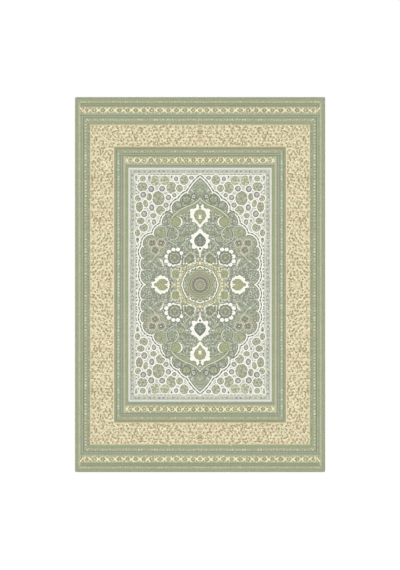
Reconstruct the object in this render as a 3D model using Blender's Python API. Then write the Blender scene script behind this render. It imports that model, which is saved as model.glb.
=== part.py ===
"""A woven rug, lying flat and face up.

The rug is one piece of cloth: its pile, its woven ground and its overcast edge are a single sheet, so it
is a single solid. The origin is the middle of the underside, +Y runs along the length and +Z is up.
"""

import math

import bmesh
import bpy

# Driving dimensions, in metres.
WIDTH = 2.000
LENGTH = 3.000
THICKNESS = 0.009
CORNER_RADIUS = 0.008
RIM_RADIUS = 0.003

# How finely the round stretches are divided.
CORNER_SEGMENTS = 6
RIM_SEGMENTS = 3
SMOOTH_ANGLE = math.radians(30.0)

# The wool's overall colour as linear red, green, blue and alpha.
WOOL_COLOUR = (0.46, 0.46, 0.32, 1.0)
WOOL_ROUGHNESS = 0.9


def clear_scene() -> None:
    """Remove every object that the scene holds."""
    for obj in list(bpy.data.objects):
        bpy.data.objects.remove(obj, do_unlink=True)


def wool_material() -> bpy.types.Material:
    """Return the matt wool that the whole rug is woven from."""
    material = bpy.data.materials.new("wool")
    material.use_nodes = True
    shader = material.node_tree.nodes["Principled BSDF"]
    shader.inputs["Base Color"].default_value = WOOL_COLOUR
    shader.inputs["Roughness"].default_value = WOOL_ROUGHNESS
    shader.inputs["Metallic"].default_value = 0.0
    return material


def sheet_mesh() -> bpy.types.Mesh:
    """Return the rug's sheet: a slab whose four corners are rounded in plan."""
    shape = bmesh.new()
    bmesh.ops.create_cube(shape, size=1.0)
    bmesh.ops.scale(shape, verts=shape.verts, vec=(WIDTH, LENGTH, THICKNESS))
    bmesh.ops.translate(shape, verts=shape.verts, vec=(0.0, 0.0, THICKNESS / 2))
    upright = [edge for edge in shape.edges if edge.verts[0].co.xy == edge.verts[1].co.xy]
    bmesh.ops.bevel(
        shape,
        geom=upright,
        offset=CORNER_RADIUS,
        offset_type="OFFSET",
        segments=CORNER_SEGMENTS,
        profile=0.5,
        affect="EDGES",
    )
    mesh = bpy.data.meshes.new("rug")
    shape.to_mesh(mesh)
    shape.free()
    return mesh


def round_rim(rug: bpy.types.Object) -> None:
    """Round the upper and lower rims, where the edge yarn wraps over the cloth."""
    rim = rug.modifiers.new("rim", "BEVEL")
    rim.width = RIM_RADIUS
    rim.segments = RIM_SEGMENTS
    rim.limit_method = "ANGLE"
    rim.angle_limit = SMOOTH_ANGLE
    rim.use_clamp_overlap = True


def build_rug() -> bpy.types.Object:
    """Make the rug, dress it in wool and stand it in the scene."""
    mesh = sheet_mesh()
    mesh.materials.append(wool_material())
    mesh.shade_smooth()
    mesh.set_sharp_from_angle(angle=SMOOTH_ANGLE)
    rug = bpy.data.objects.new("rug", mesh)
    bpy.context.scene.collection.objects.link(rug)
    round_rim(rug)
    return rug


clear_scene()
build_rug()
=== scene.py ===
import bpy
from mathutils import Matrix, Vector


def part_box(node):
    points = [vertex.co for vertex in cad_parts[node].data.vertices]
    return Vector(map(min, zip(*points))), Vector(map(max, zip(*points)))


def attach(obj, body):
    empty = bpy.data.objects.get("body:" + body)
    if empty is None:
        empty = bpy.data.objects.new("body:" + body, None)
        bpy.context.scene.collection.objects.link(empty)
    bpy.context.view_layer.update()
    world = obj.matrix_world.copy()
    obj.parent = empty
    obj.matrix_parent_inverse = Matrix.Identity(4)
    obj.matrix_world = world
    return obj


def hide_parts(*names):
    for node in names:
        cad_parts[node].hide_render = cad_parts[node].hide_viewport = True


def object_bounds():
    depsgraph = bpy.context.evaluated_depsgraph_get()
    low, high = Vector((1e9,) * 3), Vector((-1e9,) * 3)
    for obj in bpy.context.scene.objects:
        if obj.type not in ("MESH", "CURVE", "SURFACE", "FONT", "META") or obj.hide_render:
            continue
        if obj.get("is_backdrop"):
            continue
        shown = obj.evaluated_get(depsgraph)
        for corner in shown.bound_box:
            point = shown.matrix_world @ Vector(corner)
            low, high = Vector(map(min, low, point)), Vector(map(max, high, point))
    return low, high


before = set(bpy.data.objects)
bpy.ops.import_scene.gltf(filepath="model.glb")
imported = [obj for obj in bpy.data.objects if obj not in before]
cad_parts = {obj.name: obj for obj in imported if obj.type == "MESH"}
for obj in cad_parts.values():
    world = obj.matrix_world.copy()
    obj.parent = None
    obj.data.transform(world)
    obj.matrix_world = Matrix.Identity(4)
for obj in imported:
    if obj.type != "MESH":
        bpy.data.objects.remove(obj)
CAD_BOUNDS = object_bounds()

"""A woven medallion rug: cut wool pile, the plain ground it is knotted on and its overcast edge.

The pattern is drawn once, as a weaver's quarter plan in millimetres from the rug's middle, and is
mirrored over both axes. Shapes are laid one over another, and the last one laid gives a knot its yarn.
"""

import logging
import math
from dataclasses import dataclass, field
from enum import Enum
from typing import Any, Callable, Iterable, Sequence

import bpy
import numpy as np
from mathutils import Vector
from mathutils.geometry import delaunay_2d_cdt

LOG = logging.getLogger("rug")
MM = 0.001
TAU = 2.0 * math.pi

Outline = np.ndarray
Point = tuple[float, float]
Route = tuple[Point, ...]

# ---- Yarns ----


def linear(hex_colour: str) -> tuple[float, float, float, float]:
    """Turn an sRGB hex colour into linear red, green, blue and alpha.

    Args:
        hex_colour: six hex digits after a hash sign.

    Returns:
        The colour as Blender's shader sockets take it.
    """
    parts = [int(hex_colour[i : i + 2], 16) / 255.0 for i in (1, 3, 5)]
    red, green, blue = (p / 12.92 if p <= 0.04045 else ((p + 0.055) / 1.055) ** 2.4 for p in parts)
    return (red, green, blue, 1.0)


class Yarn(Enum):
    """The dyed wools of the pile: each one's own colour and that of the darker ply twisted into it."""

    SAGE = ("#a4ac8c", "#969e7e")
    MOSS = ("#959d83", "#878f75")
    FERN = ("#acb59b", "#9ea78d")
    STRIPE = ("#b5b89c", "#a7aa8e")
    HUSK = ("#aaab90", "#9c9d82")
    HAY = ("#b1b291", "#a3a483")
    BEAD = ("#dbdcc1", "#cdceb3")
    SAND = ("#e0d2ae", "#d2c4a0")
    STRAW = ("#d0c7a0", "#c2b992")
    KHAKI = ("#bab08a", "#aca27c")
    TAN = ("#a1976c", "#93895e")
    BARK = ("#a9a685", "#9b9877")
    WALNUT = ("#9c9c7a", "#8e8e6c")
    UMBER = ("#787260", "#6a6452")
    CREAM = ("#f7eece", "#e9e0c0")
    CHALK = ("#e3e7dd", "#d5d9cf")
    IVORY = ("#fefdf2", "#f2f1e6")
    PEARL = ("#d1cfc9", "#c3c1bb")
    LILAC = ("#bcbbb5", "#aeada7")
    FLAX = ("#c5c6b3", "#b7b8a5")
    DOVE = ("#b2b4a0", "#a4a692")
    REED = ("#999c87", "#8b8e79")
    ASH = ("#808179", "#72736b")
    SOOT = ("#6c6c62", "#5e5e54")
    CELADON = ("#a4aa94", "#969c86")
    SLATE = ("#99a198", "#8b938a")
    INK = ("#80887a", "#727a6c")
    OLIVE = ("#abb088", "#9da27a")
    LINDEN = ("#bec3a4", "#b0b596")
    MIST = ("#d1d5c7", "#c3c7b9")
    TAUPE = ("#999683", "#8b8875")
    BLUSH = ("#c0b096", "#b2a288")
    LODEN = ("#8c9378", "#7e856a")
    WHEAT = ("#c8c69f", "#bab891")
    BUTTER = ("#f5f1ca", "#e7e3bc")


def yarns(names: str) -> tuple[Yarn, ...]:
    """Return the yarns of these names, in their order."""
    return tuple(Yarn[name] for name in names.split())


# ---- Outlines, in millimetres ----


def turned(points: np.ndarray, angle: float, centre: Point) -> np.ndarray:
    """Turn points about the origin by an angle in radians, then move the origin to a centre."""
    cosine, sine = math.cos(angle), math.sin(angle)
    return points @ np.array([[cosine, sine], [-sine, cosine]]) + np.asarray(centre)


def oval(centre: Point, half_width: float, half_height: float, corners: int = 12,
         turn: float = 0.0) -> Outline:
    """Return an ellipse's closed outline, whose half axes are along x and y before its turn."""
    angles = np.arange(corners) * TAU / corners
    return turned(np.column_stack([half_width * np.cos(angles), half_height * np.sin(angles)]), turn, centre)


def disc(centre: Point, radius: float, corners: int = 12, turn: float = 0.0) -> Outline:
    """Return a circle's outline with this many corners."""
    return oval(centre, radius, radius, corners, turn)


def box(x0: float, y0: float, x1: float, y1: float) -> Outline:
    """Return the rectangle between two corners."""
    return np.array([[x0, y0], [x1, y0], [x1, y1], [x0, y1]])


def lozenge(centre: Point, half_width: float, half_height: float, turn: float = 0.0) -> Outline:
    """Return a four-cornered diamond."""
    return oval(centre, half_width, half_height, 4, turn)


def gem(centre: Point, half_width: float, half_height: float, turn: float = 0.0,
        corners: int = 12) -> Outline:
    """Return a lozenge with rounded corners, the outline of most of the field's flowers.

    Args:
        centre: its middle.
        half_width: its half width before the turn.
        half_height: its half height before the turn.
        turn: its turn in radians.
        corners: how many points it has.

    Returns:
        The closed outline.
    """
    roundness = 1.8  # 1 would give a straight-sided lozenge, and 2 an ellipse
    angles = np.arange(corners) * TAU / corners
    reach = (np.abs(np.cos(angles)) ** roundness + np.abs(np.sin(angles)) ** roundness) ** (-1 / roundness)
    ring = np.column_stack([half_width * reach * np.cos(angles), half_height * reach * np.sin(angles)])
    return turned(ring, turn, centre)


def drop(centre: Point, half_width: float, half_height: float, turn: float = 0.0) -> Outline:
    """Return a bud's closed outline before its turn: broad at the top, narrow at the foot."""
    up, out = (wave(np.arange(10) * TAU / 10) for wave in (np.cos, np.sin))
    return turned(np.column_stack([half_width * out * (0.72 + 0.38 * up), half_height * up]), turn, centre)


def ray(centre: Point, reach: float, angle: float) -> Point:
    """Return the point at this distance and heading from a middle."""
    return centre[0] + reach * math.cos(angle), centre[1] + reach * math.sin(angle)


def flower(centre: Point, radius: float, petals: int, depth: float = 0.14, turn: float = 0.0,
           stretch: Point = (1.0, 1.0)) -> Outline:
    """Return a flower head of round petals with notches between them.

    Args:
        centre: its middle.
        radius: its reach at a petal's tip.
        petals: how many petals it has.
        depth: how far a notch goes in, as a share of the radius.
        turn: the direction of the first petal in radians.
        stretch: its scale along x and y.

    Returns:
        The closed outline, four points to a petal.
    """
    steps = np.arange(petals * 4)
    reach = radius * (1.0 - depth * np.array([1.0, 0.25, 0.0, 0.25]))[steps % 4]
    angles = turn + (steps - 2) * TAU / (petals * 4)
    ring = np.column_stack([reach * np.cos(angles), reach * np.sin(angles)])
    return ring * np.asarray(stretch) + np.asarray(centre)


def leaf(base: Point, tip: Point, width: float, belly: float = 0.36) -> Outline:
    """Return a leaf from base to tip, pointed at both ends.

    Args:
        base: where it grows from.
        tip: where it ends.
        width: its greatest width.
        belly: how far along it is widest, as a share of its length.

    Returns:
        The closed outline, of six points.
    """
    start, end = np.asarray(base, float), np.asarray(tip, float)
    along = end - start
    side = np.array([-along[1], along[0]]) / max(float(np.hypot(*along)), 1e-6) * width / 2.0
    near, far = start + belly * along, start + (belly + 0.62 * (1.0 - belly)) * along
    return np.array([start, near - side, far - 0.72 * side, end, far + 0.72 * side, near + side])


def scattered(chance: np.random.Generator, pitch: float, size: Point, jitter: float) -> Iterable[Point]:
    """Yield places on a staggered lattice from the origin, each moved a little at random.

    Args:
        chance: the source of the random moves.
        pitch: the lattice's spacing.
        size: how far it reaches along x and y.
        jitter: the greatest move along each axis.

    Yields:
        One place after another, row by row.
    """
    row = pitch * math.sqrt(3.0) / 2.0
    for j in range(int(size[1] / row) + 1):
        for i in range(int(size[0] / pitch) + 1):
            x, y = (i + 0.5 * (j % 2)) * pitch, j * row
            yield x + chance.uniform(-1, 1) * jitter, y + chance.uniform(-1, 1) * jitter


def smooth(route: Sequence[Point], steps: int = 4) -> np.ndarray:
    """Return points along a Catmull-Rom curve through a route's own points.

    Args:
        route: the points that the curve passes.
        steps: how many points each stretch gets.

    Returns:
        The curve's points, both ends included.
    """
    held = np.asarray(route, float)
    ends = np.vstack([2 * held[0] - held[1], held, 2 * held[-1] - held[-2]])
    found = []
    for before, start, end, after in zip(ends[:-3], ends[1:-2], ends[2:-1], ends[3:]):
        for t in np.arange(steps) / steps:
            found.append(0.5 * (
                2 * start + (end - before) * t + (2 * before - 5 * start + 4 * end - after) * t**2
                + (3 * start - before - 3 * end + after) * t**3
            ))
    found.append(held[-1])
    return np.array(found)


def square_to(path: np.ndarray) -> np.ndarray:
    """Return the direction to the left of a path at each of its points."""
    ahead = np.gradient(path, axis=0)
    return np.column_stack([-ahead[:, 1], ahead[:, 0]]) / np.hypot(*ahead.T)[:, None]


def stroke(path: np.ndarray, width: float, end_width: float | None = None) -> Outline:
    """Return the outline of a line drawn along an open path.

    Args:
        path: the points along its middle.
        width: its width at the start.
        end_width: its width at the end, the same as at the start if none is given.

    Returns:
        The closed outline, up one side and down the other.
    """
    path = np.asarray(path, float)
    last = width if end_width is None else end_width
    out = square_to(path) * np.linspace(width, last, len(path))[:, None] / 2.0
    return np.vstack([path + out, (path - out)[::-1]])


def blade(route: Sequence[Point], width: float) -> Outline:
    """Return a long curved leaf, pointed at both ends.

    Args:
        route: the points that its middle passes.
        width: its greatest width.

    Returns:
        The closed outline.
    """
    path = smooth(route, 3)
    half = (np.sin(np.linspace(0.0, math.pi, len(path))) ** 0.8)[1:-1, None] * width / 2.0
    out = square_to(path)[1:-1] * half
    return np.vstack([path[:1], path[1:-1] + out, path[-1:], (path[1:-1] - out)[::-1]])


def evenly(reach: float, pitch: float) -> np.ndarray:
    """Return places at an even pitch over a length, half a pitch in from its ends."""
    count = max(int(round(reach / pitch)), 1)
    return (np.arange(count) + 0.5) * reach / count


def resampled(path: np.ndarray, pitch: float) -> np.ndarray:
    """Return points at an even pitch along a path, the first one half a pitch in."""
    reach = np.concatenate([[0.0], np.cumsum(np.hypot(*np.diff(path, axis=0).T))])
    return np.column_stack([np.interp(evenly(reach[-1], pitch), reach, path[:, i]) for i in (0, 1)])


# ---- The quarter plan ----


@dataclass(frozen=True)
class Knotwork:
    """A pattern cut into anticlockwise triangles, each with the number of its yarn and of its piece."""

    points: np.ndarray
    triangles: np.ndarray
    yarns: np.ndarray
    pieces: np.ndarray

    def mirrored(self) -> "Knotwork":
        """Mirror a quarter over both axes and join the four quarters, sharing the points on the axes.

        Returns:
            The whole rug's knotwork.
        """
        weld = 0.01
        every_point, every_triangle = [], []
        for index, (sx, sy) in enumerate(((1, 1), (-1, 1), (-1, -1), (1, -1))):
            every_point.append(self.points * (sx, sy))
            order = self.triangles if sx * sy > 0 else self.triangles[:, ::-1]
            every_triangle.append(order + index * len(self.points))
        joined = np.vstack(every_point)
        keys = np.round(joined / weld).astype(np.int64)
        _, first, index = np.unique(keys, axis=0, return_index=True, return_inverse=True)
        whole = index.reshape(-1)[np.vstack(every_triangle)]
        a, b, c = whole.T
        kept = (a != b) & (b != c) & (a != c)
        yarn_numbers, piece_numbers = (np.tile(held, 4)[kept] for held in (self.yarns, self.pieces))
        return Knotwork(joined[first], whole[kept], yarn_numbers, piece_numbers)


class QuarterPlan:
    """A quarter of the rug's pattern: overlapping outlines, each with the yarn that fills it."""

    TOLERANCE = 0.02

    def __init__(self, half_width: float, half_length: float, ground: Yarn, piece: str) -> None:
        """Start a plan whose whole quarter is one yarn.

        Args:
            half_width: the quarter's extent along x, in millimetres.
            half_length: its extent along y.
            ground: the yarn under everything that is laid on it.
            piece: the name of the piece of the pile that it starts with.
        """
        self.points: list[Vector] = []
        self.outlines: list[list[int]] = []
        self.yarns: list[Yarn] = []
        self.openings: dict[str, int] = {}
        self.open_piece(piece)
        self.lay(box(0.0, 0.0, half_width, half_length), ground)

    def open_piece(self, name: str) -> None:
        """Let the next outline laid be the edge of a further piece of the pile, inside the last one."""
        self.openings[name] = len(self.outlines)

    def lay(self, outline: Outline, yarn: Yarn) -> None:
        """Lay a closed outline over what is there already.

        Args:
            outline: its corners, in millimetres from the rug's middle.
            yarn: the yarn that fills it.
        """
        corners = np.asarray(outline, float)
        x, y = corners.T
        clockwise = float(np.sum(x * np.roll(y, -1) - y * np.roll(x, -1))) < 0.0
        first = len(self.points)
        self.points.extend(Vector(place) for place in (corners[::-1] if clockwise else corners).tolist())
        self.outlines.append(list(range(first, len(self.points))))
        self.yarns.append(yarn)

    def knotted(self) -> Knotwork:
        """Cut the overlapping outlines into triangles that each hold one yarn.

        Returns:
            The quarter's knotwork.
        """
        points, _, triangles, _, _, covers = delaunay_2d_cdt(
            self.points, [], self.outlines, 0, self.TOLERANCE, True
        )
        numbers = {yarn: number for number, yarn in enumerate(Yarn)}
        kept = [(triangle, set(cover)) for triangle, cover in zip(triangles, covers) if 0 in cover]
        openings = set(self.openings.values())
        return Knotwork(
            np.array([tuple(point) for point in points]),
            np.array([triangle for triangle, _ in kept]),
            np.array([numbers[self.yarns[max(cover)]] for _, cover in kept]),
            np.array([len(cover & openings) - 1 for _, cover in kept]),
        )


@dataclass(frozen=True)
class Strewing:
    """Small leaves and buds strewn close together: their spacing, their size and their yarns."""

    pitch: float
    size: float
    tones: tuple[Yarn, ...]
    leaf_share: float = 0.62
    axis_gap: float = 1.5

    def fill(self, plan: QuarterPlan, chance: np.random.Generator, low: Point, high: Point,
             inside: Callable[[float, float], bool] | None = None) -> None:
        """Strew a patch, but not the rug's own axes.

        Args:
            plan: the plan to draw on.
            chance: the source of each one's place, heading, size and yarn.
            low: the lower corner of a box round the patch.
            high: its upper corner.
            inside: tells whether a place is in the patch, if the whole box isn't.
        """
        for x, y in scattered(chance, self.pitch, (high[0] - low[0], high[1] - low[1]), 0.3 * self.pitch):
            heading, size = chance.uniform(0, TAU), self.size * chance.uniform(0.75, 1.3)
            yarn, kind = self.tones[int(chance.integers(len(self.tones)))], chance.random()
            place = (low[0] + x, low[1] + y)
            if min(place) < self.axis_gap or (inside and not inside(*place)):
                continue
            if kind < self.leaf_share:
                plan.lay(leaf(ray(place, size, heading), ray(place, -size, heading), 0.75 * size), yarn)
            else:
                plan.lay(oval(place, 0.7 * size, 0.55 * size, 5, heading), yarn)

    def patch(self, plan: QuarterPlan, seed: int, centre: Point, radius: float) -> None:
        """Strew a disc on a plan, the same way each time for the same seed."""
        low, high = ((centre[0] + s * radius, centre[1] + s * radius) for s in (-1, 1))
        self.fill(plan, np.random.default_rng(seed), low, high,
                  lambda x, y: math.hypot(x - centre[0], y - centre[1]) < radius)


Band = tuple[Outline, Yarn]


def bands(*rows: tuple[float, float, float, float, str]) -> tuple[Band, ...]:
    """Return rectangles of yarn from rows of two opposite corners and a yarn's name."""
    return tuple((box(x0, y0, x1, y1), Yarn[name]) for x0, y0, x1, y1, name in rows)


def frames(*rows: tuple[float, float, str]) -> tuple[Band, ...]:
    """Return nested rectangles from rows of a half width, a half length and a yarn's name."""
    return bands(*((0.0, 0.0, x, y, name) for x, y, name in rows))


@dataclass
class Drawing:
    """A part of the pattern, which draws itself on the quarter plan with a chance of its own."""

    plan: QuarterPlan
    seed: int = field(default=0, kw_only=True)

    def __post_init__(self) -> None:
        """Start the source of all that is a little uneven in it."""
        self.chance = np.random.default_rng(self.seed)

    def vary(self, low: float, high: float) -> float:
        """Return a chance value between two bounds."""
        return self.chance.uniform(low, high)

    def pick(self, tones: Sequence[Yarn]) -> Yarn:
        """Return one of the yarns by chance."""
        return tones[int(self.chance.integers(len(tones)))]

    def lay(self, yarn: Yarn, *outlines: Outline) -> None:
        """Lay outlines in one yarn, each over what is there already."""
        for outline in outlines:
            self.plan.lay(outline, yarn)

    def cover(self, laid: Iterable[Band]) -> None:
        """Lay bands, each over the last."""
        for outline, yarn in laid:
            self.plan.lay(outline, yarn)

    def heads(self, centre: Point, petals: int, depth: float, turn: float,
              *rings: tuple[float, Yarn]) -> None:
        """Lay flower heads of one shape and growing smaller, each given by its radius and its yarn."""
        self.cover((flower(centre, radius, petals, depth, turn), yarn) for radius, yarn in rings)

    def discs(self, centre: Point, corners: int, *rings: tuple[float, Yarn]) -> None:
        """Lay discs round one middle and growing smaller, each given by its radius and its yarn."""
        self.cover((disc(centre, radius, corners), yarn) for radius, yarn in rings)

    def dots(self, yarn: Yarn, radius: float, corners: int, *places: Point) -> None:
        """Lay discs of one size and yarn at several places."""
        self.lay(yarn, *(disc(place, radius, corners) for place in places))

    def strew(self, seed: int, centre: Point, radius: float, pitch: float, size: float, names: str) -> None:
        """Strew a disc with specks of this pitch, this size and these yarns."""
        Strewing(pitch, size, yarns(names)).patch(self.plan, seed, centre, radius)

    def beads(self, *rows: tuple[float, float, float, float, float, str]) -> None:
        """Lay small ovals, each given by its middle, its half axes, its turn and its yarn's name."""
        self.cover((oval((x, y), half, long, 8, turn), Yarn[name]) for x, y, half, long, turn, name in rows)


# ---- Borders ----


@dataclass(frozen=True)
class BeadRow:
    """A row of soft beads along a frame's line, on the sides or on the ends."""

    line: float
    reach: float
    pitch: float
    half_long: float
    half_thick: float
    tones: str
    on_side: bool
    seed: int
    slant: float = 0.0
    between: Yarn | None = None

    def draw(self, plan: QuarterPlan) -> None:
        """Lay each bead, a little off its place, as a weaver's count gives it.

        Args:
            plan: the plan to draw on.
        """
        chance, tones = np.random.default_rng(self.seed), yarns(self.tones)
        for along in evenly(self.reach, self.pitch):
            size, turn = chance.uniform(0.75, 1.2), self.slant + chance.uniform(-0.2, 0.2)
            across = self.line + chance.uniform(-1.2, 1.2)
            along += chance.uniform(-0.14, 0.14) * self.pitch
            if self.between:
                half = 0.5 * self.half_thick
                plan.lay(self.bead(across, along + self.pitch / 2, half, -turn), self.between)
            yarn = tones[int(chance.integers(len(tones)))]
            plan.lay(self.bead(across, along, size * self.half_thick, turn), yarn)

    def bead(self, across: float, along: float, half: float, turn: float) -> Outline:
        """Return one bead.

        Args:
            across: its place across the row.
            along: its place along the row.
            half: its half thickness.
            turn: its turn away from the row's line, in radians.

        Returns:
            The bead's outline.
        """
        long = half * self.half_long / self.half_thick
        if self.on_side:
            return oval((across, along), half, long, 6, turn)
        return oval((along, across), long, half, 6, turn)


@dataclass
class GuardStripes(Drawing):
    """The plain and beaded stripes that frame the great border and the field, from outside to inside."""

    margin: tuple[Band, ...] = frames((974, 1470, "STRIPE"), (968.5, 1469, "LINDEN"), (959, 1453, "SAGE"))
    ends: tuple[Band, ...] = bands(
        (0, 1453, 974, 1470, "HAY"), (0, 1445, 956, 1453, "WALNUT"), (0, 1438, 956, 1445, "CELADON"),
        (0, 1430, 956, 1438, "MOSS"), (0, 1358, 956, 1366, "FERN"), (0, 1350, 956, 1358, "MOSS"),
    )
    outer: tuple[Band, ...] = frames(
        (944, 1350, "FERN"), (936, 1342, "MOSS"), (936, 1333, "LODEN"), (928, 1333, "HUSK"),
        (904, 1309, "SAGE"),
    )
    inner: tuple[Band, ...] = frames(
        (687, 1100, "WALNUT"), (682, 1095, "SAGE"), (674, 1094, "MOSS"), (665, 1086, "SAGE"),
        (661, 1078, "FERN"), (646, 1054, "MOSS"), (644, 1047, "SAGE"), (640, 1045, "FERN"),
        (639, 1038, "MOSS"), (632, 1030, "FERN"), (624, 1030, "MOSS"), (616, 1029, "SAGE"),
    )
    bead_ground: tuple[Band, ...] = bands((0, 1054, 652, 1078, "HAY"))
    field_ends: tuple[Band, ...] = bands(
        (0, 958, 598, 966, "STRIPE"), (0, 950, 598, 958, "MOSS"), (0, 935, 598, 950, "CELADON"),
    )
    side_line: tuple[Band, ...] = bands((598, 0, 615, 1029, "STRIPE"), (600, 0, 607.5, 1029, "WHEAT"))
    outer_beads: tuple[BeadRow, ...] = (
        BeadRow(964, 1450, 34, 11, 3, "STRIPE FLAX", True, 1),
        BeadRow(950.5, 1440, 18, 5.5, 3.2, "MOSS MOSS SAGE", True, 15),
        BeadRow(1463, 960, 19.4, 7.4, 4, "WHEAT BEAD WHEAT", False, 2, 0.6),
        BeadRow(916, 1318, 25, 10, 7.4, "WHEAT BEAD WHEAT", True, 3, 0.5, Yarn.TAUPE),
        BeadRow(892, 1290, 18, 5.5, 7, "MOSS FERN MOSS FERN", True, 16, 0.4),
        BeadRow(1321.5, 912, 20.5, 7.5, 6, "BEAD WHEAT LINDEN", False, 4, 0.5),
        BeadRow(1313, 905, 25, 5, 2.8, "BEAD LINDEN", False, 14, 0.3),
    )
    inner_beads: tuple[BeadRow, ...] = (
        BeadRow(652.5, 1058, 25, 9.5, 6, "BEAD LINDEN BEAD", True, 5, 0.4),
        BeadRow(1066, 640, 24, 6.5, 5, "WHEAT HUSK BEAD", False, 6, 0.3),
    )

    def draw_outer(self) -> None:
        """Draw the stripes outside the great border."""
        self.cover(self.margin + self.ends + self.outer)

    def draw_beads(self, rows: Iterable[BeadRow]) -> None:
        """Draw rows of beads over the stripes."""
        for row in rows:
            row.draw(self.plan)

    def draw_inner(self) -> None:
        """Draw the stripes between the great border and the field."""
        self.cover(self.inner + self.bead_ground)
        self.draw_beads(self.inner_beads)
        self.cover(self.field_ends)

    def draw_side_line(self) -> None:
        """Draw the pale line that stops the inner ornament band at the sides."""
        self.cover(self.side_line)


@dataclass
class OrnamentBand(Drawing):
    """A band of round blossoms between crossed leaves, which runs along an end of the rug."""

    low: float
    high: float
    reach: float
    pitch: float
    first: float = 24.5
    closed: bool = False

    def draw(self) -> None:
        """Draw the band's half, from the blossom on the rug's long axis to its end."""
        middle = (self.low + self.high) / 2 + 2
        self.cover(bands(
            (0, self.low, self.reach, self.high, "STRIPE"),
            (0, self.low + 9, self.reach, self.high - 5, "WHEAT"),
        ))
        specks = Strewing(15, 6, yarns("BARK BUTTER HAY WHEAT WALNUT"))
        specks.fill(self.plan, self.chance, (0, self.low + 7), (self.reach - 4, self.high - 5))
        count = int((self.reach - self.first) / self.pitch) + 1
        for unit in range(count):
            self.cross((self.first + unit * self.pitch, middle))
        self.blossom((0, middle - 2), 13.5)
        for unit in range(count):
            place = self.first + (unit + 0.5) * self.pitch
            if place < self.reach - 12:
                self.blossom((place, middle - 1), 16.5)
        if self.closed:
            self.ending(middle)

    def cross(self, heart: Point) -> None:
        """Draw four leaves that cross at a point, among darker patches.

        Args:
            heart: where they cross.
        """
        x, y = heart[0] + self.vary(-4, 4), heart[1] + self.vary(-2, 2)
        for side in (-1, 1):
            dark = Yarn.TAN if self.chance.random() < 0.4 else Yarn.WALNUT
            self.lay(dark, lozenge((x + self.vary(-4, 4), y + side * 14), 9, 7, self.vary(-0.4, 0.4)))
            self.lay(Yarn.BARK, lozenge((x + side * 0.29 * self.pitch, y), 6.5, 10, self.vary(-0.4, 0.4)))
        for sx, sy in ((-1, -1), (-1, 1), (1, -1), (1, 1)):
            tip = (x + sx * self.vary(0.22, 0.38) * self.pitch, y + sy * self.vary(13, 22))
            yarn = Yarn.BUTTER if self.chance.random() < 0.75 else Yarn.SAND
            self.lay(yarn, leaf((x - sx * 4, y - sy * 3), tip, self.vary(9, 13.5)))
        self.lay(Yarn.BUTTER, oval((x, y), self.vary(5, 10), self.vary(4, 8), 6))

    def blossom(self, heart: Point, radius: float) -> None:
        """Draw a round blossom: a dark ring of petals round a pale eye, between short pale strokes.

        Args:
            heart: its middle.
            radius: its reach.
        """
        x, y = heart[0] + self.vary(-3, 3), heart[1] + self.vary(-2, 2)
        size = radius * self.vary(0.85, 1.12)
        for sy in (-1, 1):
            start = (x + self.vary(-10, 10), y + sy * self.vary(17, 21))
            end = ray(start, self.vary(11, 17), self.vary(-0.7, 0.7))
            self.lay(Yarn.BUTTER if self.chance.random() < 0.7 else Yarn.SAND, leaf(start, end, 7, 0.5))
        ring = self.pick(yarns("WALNUT BARK TAN"))
        self.lay(ring, flower((x, y), size, 5, 0.18, self.vary(0, TAU)))
        eye = oval((x, y), 0.50 * size, 0.40 * size, 7, self.vary(0, TAU))
        self.lay(Yarn.FLAX if self.chance.random() < 0.6 else Yarn.BEAD, eye)

    def ending(self, y: float) -> None:
        """Close the band with slanting cream leaves on a warm ground.

        Args:
            y: the height of the band's middle.
        """
        end = self.reach
        self.cover(bands(
            (end - 30, y - 22, end, y + 24, "KHAKI"), (end - 10, y - 16, end, y + 20, "BLUSH"),
        ))
        for x, low in ((end - 42, y - 16), (end - 26, y - 18), (end - 14, y - 2)):
            self.lay(Yarn.CREAM, leaf((x, low), (x + 20, low + 28), 9))
        self.lay(Yarn.TAN, lozenge((end - 26, y + 14), 6, 6))


@dataclass(frozen=True)
class Fleck:
    """One of the border's curled flecks: its place in the lattice cell, its sizes and its yarns."""

    shift: Point
    long: Point
    thick: Point
    tones: tuple[Yarn, ...]


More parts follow.
